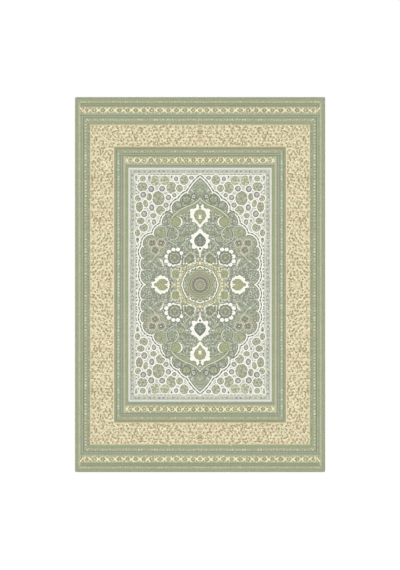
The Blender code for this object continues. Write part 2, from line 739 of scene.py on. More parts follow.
@dataclass
class GreatBorder(Drawing):
    """The wide beige border: a dense fleck of light and dark curls with small rosettes."""

    seed: int = 11
    outer: Point = (880.0, 1282.0)
    inner: Point = (687.0, 1100.0)
    sage_to: Point = (904.0, 1309.0)
    pitch: float = 31.0
    flecks: tuple[Fleck, ...] = (
        Fleck((0, 0), (28, 40), (20, 26), yarns("STRAW KHAKI STRAW")),
        Fleck((0, 0), (22, 36), (12, 17), yarns("TAN KHAKI TAN BARK")),
        Fleck((0.5, 0.289), (24, 40), (13, 18), yarns("CREAM")),
        Fleck((0, 0.577), (16, 28), (13, 18), yarns("CREAM TAN CREAM STRAW")),
    )
    curl: Route = (
        (-0.5, -0.3), (-0.2, 0.25), (0.2, 0.4), (0.5, 0), (0.15, -0.15), (-0.15, -0.3),
    )
    rosette_pitch: float = 88.0
    swing: float = 38.0

    def draw(self) -> None:
        """Draw the border's quarter: ground, flecks, rosettes, the mitre's stem and both edges."""
        self.cover(frames((*self.outer, "SAND")))
        self.fleck()
        for number, heart in enumerate(self.hearts()):
            self.rosette(tuple(heart), number)
        inner, span = np.array(self.inner), np.array(self.outer) - np.array(self.inner)
        for share, width, yarn in ((0.88, 14, Yarn.KHAKI), (0.86, 7.5, Yarn.CREAM)):
            self.lay(yarn, leaf(tuple(inner + 0.10 * span), tuple(inner + share * span), 1.4 * width))
        (x, y), (x1, y1) = self.inner, self.outer
        self.cover(bands((x1 - 3.5, 0, x1, y1, "SAND"), (0, y1 - 8, x1, y1, "STRAW")))
        self.cover(frames((x + 9, y + 9, "SAND"), (x + 4, y + 7, "STRAW"), (x + 4, y, "CREAM")))

    def surround(self) -> None:
        """Draw the sage stripe outside the border."""
        self.cover(frames((*self.sage_to, "SAGE")))

    def in_border(self, x: float, y: float, margin: float) -> bool:
        """Tell whether a point lies in the border, this far inside its edges."""
        outside_field = x > self.inner[0] + margin or y > self.inner[1] + margin
        return outside_field and x < self.outer[0] - margin and y < self.outer[1] - margin

    def fleck(self) -> None:
        """Cover the border with curled flecks, light and dark ones by turns."""
        for x, y in scattered(self.chance, self.pitch, self.outer, 8):
            for fleck in self.flecks:
                place = (x + fleck.shift[0] * self.pitch, y + fleck.shift[1] * self.pitch)
                size = (self.vary(*fleck.long), self.vary(*fleck.thick) * self.chance.choice((-1, 1)))
                heading = TAU / 8 * self.chance.choice((1, 3, 5, 7)) + self.vary(-0.6, 0.6)
                yarn = self.pick(fleck.tones)
                if self.in_border(*place, 6):
                    self.lay(yarn, turned(np.array(self.curl) * size, heading, place))

    def hearts(self) -> np.ndarray:
        """Place the rosettes in a row that swings to and fro along each side.

        Returns:
            Their middles.
        """
        x, y = ((outer + inner) / 2 for outer, inner in zip(self.outer, self.inner))
        side, end = evenly(y, self.rosette_pitch), evenly(x, self.rosette_pitch)
        out, up = (line + self.swing * (-1) ** np.arange(len(row)) for line, row in ((x, side), (y, end)))
        return np.vstack([np.column_stack([out, side]), np.column_stack([end, up])[:-1]])

    def rosette(self, heart: Point, number: int) -> None:
        """Draw one rosette, cream petals round a dark eye, with a long pointed leaf beside it.

        Args:
            heart: its middle.
            number: its place in the row.
        """
        turn, radius = self.vary(0, TAU), self.vary(18, 23)
        start = ray(heart, 26, turn)
        end = ray(start, self.vary(45, 70), turn + (0.7 if number % 2 else -0.7))
        if self.in_border(*end, 8):
            self.lay(Yarn.KHAKI, leaf(start, end, 17))
            self.lay(Yarn.CREAM, leaf(start, end, 10.5))
        for petal in range(5):
            angle = turn + petal * TAU / 5
            place = ray(heart, 0.60 * radius, angle)
            self.lay(Yarn.CREAM, oval(place, 0.36 * radius, 0.26 * radius, 6, angle))
        self.lay(Yarn.TAN, disc(heart, 0.36 * radius, 7))


@dataclass
class FieldFrame(Drawing):
    """The white lines and the grey, softly blotted guard that frame the field."""

    seed: int = 3
    guard: tuple[Band, ...] = frames((573.5, 935.5, "CHALK"), (560, 921, "FLAX"))
    lines: tuple[Band, ...] = frames(
        (524.5, 894, "CHALK"), (518, 888, "PEARL"), (510, 878, "IVORY"), (502, 871, "MIST"),
    )
    pitch: float = 11.0
    speck: float = 6.5

    def draw(self) -> None:
        """Draw the frame's lines, the blots of its guard and the pearls beside the field."""
        self.cover(self.guard)
        for names, low, high in (
            ("REED PEARL DOVE LILAC FLAX BEAD", (0, 899), (553, 917)),
            ("REED PEARL DOVE CHALK FLAX BEAD", (529, 0), (554, 899)),
        ):
            Strewing(self.pitch, self.speck, yarns(names)).fill(self.plan, self.chance, low, high)
        for place in evenly(541.5, 39):
            heart = (place + self.vary(-10, 10), 907)
            blot = oval(heart, self.vary(6, 10), 7.5, 7, self.vary(-0.6, 0.6))
            self.lay(Yarn.REED if self.chance.random() < 0.6 else Yarn.DOVE, blot)
            self.lay(Yarn.CHALK, lozenge((place + 19, 905), 5, 7))
        for place in evenly(890, 35):
            heart = (543 + self.vary(-5, 5), place + self.vary(-6, 6))
            self.lay(Yarn.REED, oval(heart, 7, self.vary(5, 8), 7, self.vary(-0.6, 0.6)))
            light = (531 + self.vary(-2, 12), place + 17 + self.vary(-5, 5))
            self.lay(Yarn.CHALK, lozenge(light, 5, 6.5))
        self.cover(self.lines)
        for height in evenly(860, 23):
            tone, size = (Yarn.REED, 7.6) if self.chance.random() < 0.4 else (Yarn.ASH, 6.8)
            self.lay(tone, disc((509 + self.vary(-3, 3), height + self.vary(-7, 7)), size, 6))
        for place in evenly(500, 29):
            self.lay(Yarn.DOVE, box(place - 10, 878, place + 10, 886.5))
            self.lay(Yarn.REED, box(place - 6, 880.5, place + 6, 885))


# ---- Field ----


class Bloom(Enum):
    """The kinds of flower in the field's corners."""

    BUD = 1
    HEAD = 2
    RINGED = 3
    GREAT = 4
    GOLDEN = 5


@dataclass(frozen=True)
class Seat:
    """A flower's place in the field: its middle, its half width, its kind, its height and its tilt."""

    x: float
    y: float
    radius: float
    kind: Bloom
    tall: float = 1.0
    tilt: float = 0.0


def seated(*rows: tuple[Any, ...]) -> tuple[Seat, ...]:
    """Return seats from rows that hold a seat's values, its kind by name."""
    return tuple(Seat(x, y, radius, Bloom[kind], *rest) for x, y, radius, kind, *rest in rows)


@dataclass
class FlowerField(Drawing):
    """The corners of the field: lozenge-shaped flowers set close, each ringed by the white vine."""

    seed: int = 31
    seats: tuple[Seat, ...] = seated(
        (511, 850, 14, "BUD", 1.85), (458, 849, 25.5, "HEAD", 0.93), (405, 846, 17, "BUD", 1.75),
        (361, 832, 39, "GOLDEN", 1.1), (282, 834, 39, "GOLDEN", 0.97), (228, 860, 11, "BUD", 1.2),
        (191, 847, 17.5, "RINGED", 1.17, -0.2), (127, 838, 37, "HEAD", 1.1),
        (68, 855, 21.5, "RINGED", 0.75), (461, 784, 42.5, "GREAT", 0.97),
        (390, 766, 25.5, "RINGED", 1.05), (303, 768, 24.5, "RINGED", 0.97),
        (228, 776, 42.5, "GREAT", 1.16), (164, 771, 28.5, "HEAD", 1.04), (454, 720, 25, "RINGED"),
        (407, 703, 23.5, "HEAD", 1.32), (333, 691, 51.5, "GREAT", 1.17), (253, 697, 23, "RINGED"),
        (205, 716, 18, "RINGED"), (496, 692, 25.5, "HEAD", 1.05), (435, 649, 19.5, "HEAD", 1.6, -0.25),
        (485, 624, 29.5, "HEAD", 1.5), (386, 617, 21.5, "RINGED", 1.3), (272, 637, 22, "RINGED"),
        (316, 595, 37.5, "HEAD"), (446, 567, 25, "RINGED", 1.1), (373, 553, 26.5, "HEAD", 0.84),
        (474, 511, 31.5, "HEAD", 0.86), (409, 508, 13, "BUD", 1.2), (368, 500, 19, "RINGED", 1.3),
        (451, 457, 35.5, "HEAD", 0.98), (500, 415, 22.5, "HEAD", 1.3), (500, 356, 17, "BUD", 1.3),
    )
    vine: float = 8.5
    smallest: float = 4.0
    probe: float = 7.0
    specks: Strewing = Strewing(14, 5.8, yarns("REED IVORY ASH IVORY REED BEAD"))

    def draw(self, edge: np.ndarray) -> None:
        """Draw the specks of the ground, then every flower in its ring of vine, the greatest first.

        Args:
            edge: the points of the medallion's outer line, which the flowers stop at.
        """
        self.specks.fill(self.plan, self.chance, (0, 320), (497, 864),
                         lambda x, y: y > np.interp(x, edge[:, 0], edge[:, 1]) and self.free(x, y))
        for x, y, radius in self.fillers(edge):
            self.lay(Yarn.IVORY, gem((x, y), radius + 6.5, radius + 6.5, 0.4, 8))
            self.lay(Yarn.ASH, gem((x, y), radius, radius, 0.4, 6))
        for number, seat in enumerate(sorted(self.seats, key=lambda s: -s.radius * s.tall)):
            vine = 0.5 * self.vine if seat.kind is Bloom.GOLDEN else self.vine
            ring = drop if seat.kind is Bloom.BUD else gem
            height = seat.radius * seat.tall + vine
            self.lay(Yarn.IVORY, ring((seat.x, seat.y), seat.radius + vine, height, seat.tilt))
            self.bloom(seat, number)

    def free(self, x: float, y: float) -> bool:
        """Tell whether a speck here would show between the flowers' rings."""
        ways = (((x - s.x) / s.radius, (y - s.y) / (s.radius * s.tall)) for s in self.seats)
        return all(math.hypot(*way) > 1.1 for way in ways)

    def fillers(self, edge: np.ndarray) -> list[tuple[float, float, float]]:
        """Find room for small dark buds between the flowers, the roomiest places first.

        Args:
            edge: the points of the medallion's outer line.

        Returns:
            Each bud's place and radius.
        """
        across, along = np.meshgrid(np.arange(4, 500, self.probe), np.arange(300, 868, self.probe))
        spots = np.column_stack([across.ravel(), along.ravel()])
        spots = spots[spots[:, 1] > np.interp(spots[:, 0], edge[:, 0], edge[:, 1])]
        room = np.min(np.hypot(*(spots[:, None, :] - edge[None, :, :]).transpose(2, 0, 1)), axis=1) + 2
        for seat in self.seats:
            away = np.hypot(spots[:, 0] - seat.x, (spots[:, 1] - seat.y) / seat.tall)
            room = np.minimum(room, away - seat.radius - self.vine)
        found = []
        while room.max() > self.smallest + 8:
            best = int(np.argmax(room))
            radius = min(float(room[best]) - 8, 6.5)
            found.append((float(spots[best, 0]), float(spots[best, 1]), radius))
            room = np.minimum(room, np.hypot(*(spots - spots[best]).T) - radius - 12)
        return found

    def bloom(self, seat: Seat, number: int) -> None:
        """Draw one flower.

        Args:
            seat: its place, sizes and kind.
            number: its place in the drawing order, which varies its speckles.
        """
        middle, height = (seat.x, seat.y), seat.radius * seat.tall
        small = min(seat.radius, height)
        if seat.kind is Bloom.BUD:
            self.lay(Yarn.REED, drop(middle, seat.radius, height))
            inner = Yarn.LILAC if number % 2 else Yarn.CELADON
            self.lay(inner, drop(middle, seat.radius - 4, height - 4))
            self.lay(Yarn.ASH, disc((seat.x, seat.y + 0.35 * height), 0.3 * seat.radius, 6))
        elif seat.kind is Bloom.RINGED:
            inner = Yarn.LILAC if number % 3 else Yarn.FLAX
            for share, yarn in ((1, Yarn.ASH), (0.70, inner), (0.46, Yarn.REED), (0.30, Yarn.MIST)):
                self.lay(yarn, self.shrunk(seat, share, 10))
            glint = (seat.x + 0.3 * small, seat.y + 0.4 * small)
            self.lay(Yarn.CHALK, oval(glint, 0.22 * small, 0.15 * small, 6))
        elif seat.kind is Bloom.GOLDEN:
            self.speckled(seat, number, yarns("HUSK STRIPE BEAD OLIVE HUSK BUTTER TAUPE WHEAT IVORY"))
        elif number % 2:
            self.speckled(seat, number, yarns("REED STRIPE LINDEN REED MOSS MIST TAUPE BEAD BEAD"))
        else:
            self.speckled(seat, number, yarns("REED HUSK FLAX CELADON REED MIST TAUPE BEAD LINDEN"))

    def shrunk(self, seat: Seat, share: float, corners: int = 12) -> Outline:
        """Return a flower's own outline, drawn smaller."""
        width = share * seat.radius
        return gem((seat.x, seat.y), width, width * seat.tall, seat.tilt, corners)

    def speckled(self, seat: Seat, number: int, tones: Sequence[Yarn]) -> None:
        """Draw a broad flower, speckled between its petals.

        Args:
            seat: its place and sizes.
            number: its place in the drawing order.
            tones: the yarns of its rim, its body, its petals by turns and its specks.
        """
        middle, small = (seat.x, seat.y), min(seat.radius, seat.radius * seat.tall)
        rim, body, *petal_tones = tones
        self.lay(rim, self.shrunk(seat, 1))
        self.lay(body, self.shrunk(seat, 1 - 4 / small))
        petals = 9 if small > 34 else 6
        for petal in range(petals):
            angle = 0.7 * number + petal * TAU / petals
            start, end = (ray(middle, share * small, angle) for share in (0.30, 0.82))
            self.lay(petal_tones[petal % 2], leaf(start, end, 0.34 * small))
        Strewing(11.5, 6, tuple(petal_tones[1:])).patch(self.plan, number, middle, 0.88 * small)
        self.lay(Yarn.TAUPE, disc(middle, 0.16 * small, 6))


# ---- Medallion ----


@dataclass(frozen=True)
class Lobe:
    """A stretch of the medallion's edge: the cusp where it starts and how far it bows out."""

    x: float
    y: float
    bow: float


@dataclass
class Medallion(Drawing):
    """The lobed medallion's edge and ground, with the leaves and buds strewn on it."""

    seed: int = 23
    lobes: tuple[Lobe, ...] = (
        Lobe(0, 864, 9), Lobe(99, 742, 12), Lobe(169, 679, 27), Lobe(227, 587, 28), Lobe(311, 483, 18),
        Lobe(376, 404, 32), Lobe(463, 309, 20), Lobe(464, 215, 15), Lobe(467, 121, 27), Lobe(439, 0, 0),
    )
    covered: tuple[tuple[float, float, float], ...] = (
        (0, 0, 188), (203, 215, 66), (0, 556, 64), (0, 350, 58), (303, 0, 58), (86, 214, 46), (196, 84, 42),
        (350, 306, 72), (190, 503, 42), (0, 761, 30), (108, 684, 26), (308, 428, 34), (140, 133, 36),
    )
    ground: Strewing = Strewing(12.6, 7.6, yarns("INK MIST ASH LINDEN INK CHALK SLATE ASH MOSS MIST"))
    outer_line: float = 24.0
    arc_step: float = 14.0
    steep_to: float = 620.0

    def edge(self, grow: float) -> np.ndarray:
        """Return the medallion's edge from its tip to the cross axis, moved out by some millimetres.

        Args:
            grow: how far outside the cusps' own line the edge runs.

        Returns:
            The points of its arcs, each arc about its own middle so that the lines stay parallel.
        """
        circles = []
        for start, end in zip(self.lobes[:-1], self.lobes[1:]):
            a, b = np.array([start.x, start.y]), np.array([end.x, end.y])
            chord = b - a
            span = float(np.hypot(*chord))
            out = np.array([-chord[1], chord[0]]) / span
            radius = (span**2 / 4 + start.bow**2) / (2 * start.bow)
            circles.append(((a + b) / 2 + out * (start.bow - radius), radius + grow))
        first = (circles[0][0] * (-1, 1), circles[0][1])
        last = (circles[-1][0] * (1, -1), circles[-1][1])
        ring = [first, *circles, last]
        knots = [self.crossing(*ring[i], *ring[i + 1], lobe) for i, lobe in enumerate(self.lobes)]
        path = []
        for (centre, radius), start, end in zip(circles, knots[:-1], knots[1:]):
            begin, finish = (math.atan2(*(p - centre)[::-1]) for p in (start, end))
            turn = (finish - begin + math.pi) % TAU - math.pi
            count = max(int(abs(turn) * radius / self.arc_step), 4)
            angles = begin + turn * np.arange(count) / count
            path.append(centre + radius * np.column_stack([np.cos(angles), np.sin(angles)]))
        path.append(knots[-1][None])
        return np.vstack(path)

    @staticmethod
    def crossing(c0: np.ndarray, r0: float, c1: np.ndarray, r1: float, near: Lobe) -> np.ndarray:
        """Return the point where two circles cross, the one nearest a cusp.

        Args:
            c0: the first circle's middle.
            r0: its radius.
            c1: the second circle's middle.
            r1: its radius.
            near: the cusp.

        Returns:
            The point, or the one midway between the circles where they only just miss.
        """
        gap = c1 - c0
        span = float(np.hypot(*gap))
        along = (span**2 + r0**2 - r1**2) / (2 * span)
        across = math.sqrt(max(r0**2 - along**2, 0))
        foot = c0 + gap / span * along
        side = np.array([-gap[1], gap[0]]) / span * across
        cusp = np.array([near.x, near.y])
        return min((foot + side, foot - side), key=lambda p: float(np.hypot(*(p - cusp))))

    def filled(self, *steps: tuple[float, Yarn]) -> None:
        """Fill the medallion out to one line of its edge after another.

        Args:
            steps: how far each line is outside the cusps' own line, and the yarn inside it.
        """
        for grow, yarn in steps:
            edge = self.edge(grow)
            self.lay(yarn, np.vstack([edge, [[-20, 0]], [[-20, edge[0, 1]]]]))

    def draw(self) -> None:
        """Draw the double white edge with its dashes, then the ground and all that is strewn on it."""
        self.plan.open_piece("rug_pile_medallion")
        self.filled((23.5, Yarn.IVORY), (15, Yarn.FLAX), (12.5, Yarn.DOVE))
        self.dashes()
        self.filled((5.5, Yarn.IVORY), (-5, Yarn.INK), (-10, Yarn.CELADON), (-15, Yarn.LINDEN),
                    (-18, Yarn.CELADON))
        self.strewn()
        for lobe in self.lobes[1:-1]:
            inward = np.array([lobe.x, lobe.y]) * (1 - 9 / math.hypot(lobe.x, lobe.y))
            self.lay(Yarn.IVORY, lozenge(tuple(inward), 7, 7))

    def dashes(self) -> None:
        """Draw the dark dashes between the two white lines: long on the slopes below the tip, then short."""
        line = self.edge(10)
        split = int(np.argmax(line[:, 1] < self.steep_to))
        for part, pitch, half in ((line[:split], 46, 19), (line[split:], 31, 10.5)):
            places = resampled(part, pitch)
            for place, ahead in zip(places, np.gradient(places, axis=0)):
                self.lay(Yarn.SOOT, oval(tuple(place), half, 5, 8, np.arctan2(ahead[1], ahead[0])))

    def strewn(self) -> None:
        """Strew the ground inside the edge, except under what is drawn over it later."""
        limit = self.edge(-19)
        heights, sides = limit[np.argsort(limit[:, 1])].T[::-1]
        self.ground.fill(
            self.plan, self.chance, (0, 0), (480, 850),
            lambda x, y: x < np.interp(y, heights, sides)
            and all(math.hypot(x - cx, y - cy) > r for cx, cy, r in self.covered),
        )


@dataclass
class Arabesques(Drawing):
    """The pale lines that curl through the medallion, and the flowers that sit in their bends."""

    ogee: Route = (
        (0, 694), (18, 672), (66, 640), (122, 617), (176, 585), (222, 541), (237, 500), (226, 476),
        (196, 450), (178, 425), (174, 397), (185, 374), (200, 362),
    )
    inner_curl: Route = (
        (352, 446), (332, 462), (306, 468), (276, 458), (262, 440), (269, 415), (270, 382), (254, 355),
        (222, 336), (188, 316),
    )
    tendril: Route = (
        (152, 389), (126, 380), (113, 352), (130, 329), (118, 300), (92, 270), (66, 246),
    )
    cluster: Point = (350.0, 306.0)

    def draw(self) -> None:
        """Draw the lines, then the flowers."""
        self.round_flower((308, 428), 42, "OLIVE HUSK")
        ogee = smooth(self.ogee, 5)
        self.lay(Yarn.OLIVE, stroke(ogee[4:26] * 0.966, 13, 20))
        for path, width, yarn in (
            (ogee, 9.5, Yarn.BEAD), (smooth(self.inner_curl), 7.5, Yarn.MIST),
            (smooth(self.tendril), 6.5, Yarn.BEAD),
        ):
            self.lay(Yarn.INK, stroke(path, width + 7))
            self.lay(yarn, stroke(path, width))
        for centre, radius, names in (
            ((0, 761), 36, "CELADON BEAD"), ((108, 684), 33, "OLIVE CELADON INK"),
            ((176, 638), 28, "CELADON MIST SLATE"), ((50, 706), 20, "PEARL SLATE INK"),
            ((252, 560), 24, "CELADON MIST SLATE"), ((230, 405), 27, "CELADON OLIVE"),
            ((150, 366), 24, "OLIVE LINDEN"),
        ):
            self.round_flower(centre, radius, names)
        self.lay(Yarn.CHALK, leaf((56, 742), (72, 764), 10))
        self.crescent_flower((190, 503), 36)
        self.lay(Yarn.IVORY, lozenge((103, 366), 9, 6.5))
        self.eyed_cluster()
        for shift in (-8, 8):
            ends = np.array([[398 + shift, 184 - shift], [330 + shift, 252 - shift]])
            self.lay(Yarn.BEAD, stroke(ends, 5.5))
        self.lay(Yarn.BEAD, disc((398, 184), 9, 8))
        self.lay(Yarn.IVORY, blade([(324, 206), (308, 186), (292, 148)], 17))
        self.lay(Yarn.OLIVE, blade([(318, 194), (308, 180), (298, 160)], 6))

    def round_flower(self, centre: Point, radius: float, names: str) -> None:
        """Draw a round flower inside a thin ring, flecked with light and dark.

        Args:
            centre: its middle.
            radius: the ring's radius.
            names: the yarns of its petals, of its eye and light flecks, and of its ring.
        """
        petals, eye, ring = (*yarns(names), Yarn.LINDEN)[:3]
        self.discs(centre, 16, (radius + 4, Yarn.INK), (radius, ring), (radius - 4.5, Yarn.CELADON))
        self.heads(centre, 8, 0.16, TAU / 16, (radius - 6, petals))
        tones = f"{eye.name} REED BEAD TAUPE MIST MOSS"
        self.strew(int(sum(centre)), centre, 0.82 * radius, 12, 6.2, tones)
        self.heads(centre, 6, 0.2, 0, (radius * 0.28, eye))
        self.lay(Yarn.INK, disc(centre, radius * 0.13, 6))

    def crescent_flower(self, centre: Point, radius: float) -> None:
        """Draw the olive flower that a white crescent holds on its inner side.

        Args:
            centre: the middle of the two together.
            radius: the flower's own radius.
        """
        outer, inner = (centre[0] - 8, centre[1]), (centre[0] + 4, centre[1])
        self.lay(Yarn.INK, disc(outer, radius + 13, 20))
        self.lay(Yarn.IVORY, flower(outer, radius + 9, 12, 0.08))
        for angle in (2.2, 3, 4.1):
            self.lay(Yarn.LINDEN, lozenge(ray(outer, radius + 8, angle), 6, 4.5, angle))
        self.discs(inner, 18, (radius + 7, Yarn.INK), (radius + 3, Yarn.OLIVE))
        self.strew(5, inner, 0.9 * radius, 11, 5, "LINDEN HUSK LINDEN REED OLIVE")

    def eyed_cluster(self) -> None:
        """Draw the side lobes' great blossom: three dark-eyed flowers in one scalloped ring."""
        self.heads(self.cluster, 10, 0.1, 0, (85, Yarn.REED), (81, Yarn.LINDEN), (75, Yarn.DOVE))
        self.strew(9, self.cluster, 84, 12, 7, "LINDEN REED HUSK STRIPE TAUPE")
        eyes = ((382, 332, Yarn.FLAX), (311, 333, Yarn.IVORY), (359, 277, Yarn.PEARL))
        for number, (x, y, eye) in enumerate(eyes):
            self.lay(Yarn.BEAD, flower((x, y), 37.5, 8, 0.1, 0.3 * number))
            self.lay(Yarn.TAUPE, flower((x, y), 31.5, 8, 0.12, 0.3 * number))
            for petal in range(8):
                turn = 0.3 * number + petal * TAU / 8
                self.lay((Yarn.FLAX, Yarn.REED)[petal % 2], oval(ray((x, y), 23, turn), 7, 4, 6, turn))
            self.lay(Yarn.UMBER if eye is Yarn.IVORY else Yarn.ASH, disc((x, y), 13, 9))
            self.lay(eye, disc((x + 1, y), 6, 7))


@dataclass(frozen=True)
class Petal:
    """A pointed petal of a palmette's collar: its heading in degrees, its reach and its width."""

    heading: float
    reach: float
    width: float


@dataclass
class Palmettes(Drawing):
    """The white palmettes on the medallion's two axes, each a ring of pointed petals round a flower."""

    green: tuple[Petal, ...] = (
        Petal(76, 99, 27), Petal(54, 76, 30), Petal(31, 97, 46), Petal(9, 86, 30), Petal(-9, 85, 34),
        Petal(-39, 81, 38),
    )
    slate: tuple[Petal, ...] = (
        Petal(57, 80, 34), Petal(35, 87, 42), Petal(1, 84, 46), Petal(-24, 70, 34), Petal(-43, 88, 44),
    )
    side: tuple[Petal, ...] = (
        Petal(43, 80, 38), Petal(62, 78, 34), Petal(78, 82, 38), Petal(104, 76, 40), Petal(128, 72, 36),
        Petal(152, 64, 30),
    )
    bract: Route = ((15, 528), (7, 544), (16, 561), (4, 552), (0, 566))
    heart: Route = (
        (0, 414), (20, 396), (40, 374), (48, 352), (41, 325), (18, 305), (-18, 305), (-41, 325), (-48, 352),
        (-40, 374), (-20, 396),
    )
    outline: float = 5.0
    rim: float = 3.0

    def draw(self) -> None:
        """Draw the green and slate palmettes of the long axis and the one of the cross axis."""
        self.draw_green()
        self.draw_slate()
        self.draw_side()

    def draw_green(self) -> None:
        """Draw the palmette nearest the medallion's tip, with its neck and its white bract."""
        neck = ((-38, 506), (38, 506), (20, 478), (5, 452), (-5, 452), (-20, 478))
        self.collar((0, 553), (62, 74), self.green, [neck])
        for grow, yarn in ((self.rim, Yarn.WALNUT), (0, Yarn.OLIVE)):
            self.lay(yarn, flower((0, 555), 47 + grow, 8, 0.08))
            self.lay(yarn, np.array([(-34 - grow, 528), (34 + grow, 528), (0, 485 - 2 * grow)]))
        self.strew(2, (0, 556), 44, 11, 6, "LINDEN WHEAT HUSK REED")
        self.lay(Yarn.IVORY, np.array([*self.bract, *((-x, y) for x, y in self.bract[-2::-1])]))
        self.lay(Yarn.REED, disc((0, 616), 10, 8))

    def draw_slate(self) -> None:
        """Draw the dark palmette between the green one and the octagon, with its long foot."""
        self.collar((0, 350), (60, 64), self.slate, [
            ((-52, 392), (-28, 420), (-4, 452), (4, 452), (28, 420), (52, 392)),
            ((-28, 300), (28, 300), (6, 254), (4.5, 214), (-4.5, 214), (-6, 254)),
        ])
        heart = np.array(self.heart, float)
        self.lay(Yarn.ASH, heart)
        self.lay(Yarn.INK, (heart - (0, 354)) * 0.87 + (0, 354))
        self.strew(3, (0, 350), 40, 10, 5.5, "SLATE REED SLATE FLAX INK")
        self.lay(Yarn.SLATE, flower((0, 352), 15, 6, 0.25, 0, (0.8, 1.2)))
        self.lay(Yarn.MIST, lozenge((0, 378), 6, 6))
        self.lay(Yarn.SOOT, disc((0, 287), 9, 10))

    def draw_side(self) -> None:
        """Draw the palmette of the cross axis, which points away from the octagon."""
        tail = ((350, -32), (374, -25), (393, -24), (385, 0), (393, 24), (374, 25), (350, 32))
        self.collar((302, 0), (62, 62), self.side, [tail], math.pi / 2)
        for grow, yarn in ((self.rim, Yarn.WALNUT), (0, Yarn.OLIVE)):
            self.lay(yarn, flower((301, 0), 45 + grow, 8, 0.06, TAU / 16), disc((354, 0), 12 + grow, 10))
        self.strew(4, (301, 0), 42, 11, 6, "LINDEN HUSK LINDEN OLIVE")
        self.lay(Yarn.IVORY, leaf((240, 0), (286, 0), 13))
        for side in (-1, 1):
            self.lay(Yarn.IVORY, leaf((246, side * 6), (268, side * 22), 10))
            self.lay(Yarn.UMBER, disc((264, side * 24), 6.5, 7))
            self.lay(Yarn.SOOT, disc((240, side * 13), 6, 7))

    def collar(self, centre: Point, halves: Point, petals: Sequence[Petal],
               tails: Sequence[Sequence[Point]], turn: float = 0) -> None:
        """Lay a palmette's white collar, with a dark line round it.

        Args:
            centre: its middle.
            halves: the half width and half height of its round body.
            petals: the petals of its one half, whose mirror images make the other.
            tails: further white outlines, such as its neck.
            turn: 0 where it is mirrored over the long axis, a quarter turn where over the cross axis.
        """
        mirror = 0 if turn else math.pi / 2
        for grow, yarn in ((self.outline, Yarn.INK), (0, Yarn.IVORY)):
            self.lay(yarn, oval(centre, halves[0] + grow, halves[1] + grow, 24))
            for petal in petals:
                for side in (-1, 1):
                    heading = mirror + side * (math.radians(petal.heading) - mirror)
                    base, tip = (ray(centre, r, heading) for r in (0.35 * petal.reach, petal.reach + grow))
                    self.lay(yarn, leaf(base, tip, petal.width + 2 * grow, 0.45))
            for tail in tails:
                points = np.asarray(tail, float)
                middle = points.mean(axis=0)
                reach = np.hypot(*(points - middle).T)[:, None]
                self.lay(yarn, middle + (points - middle) * (1 + grow / np.maximum(reach, 18)))


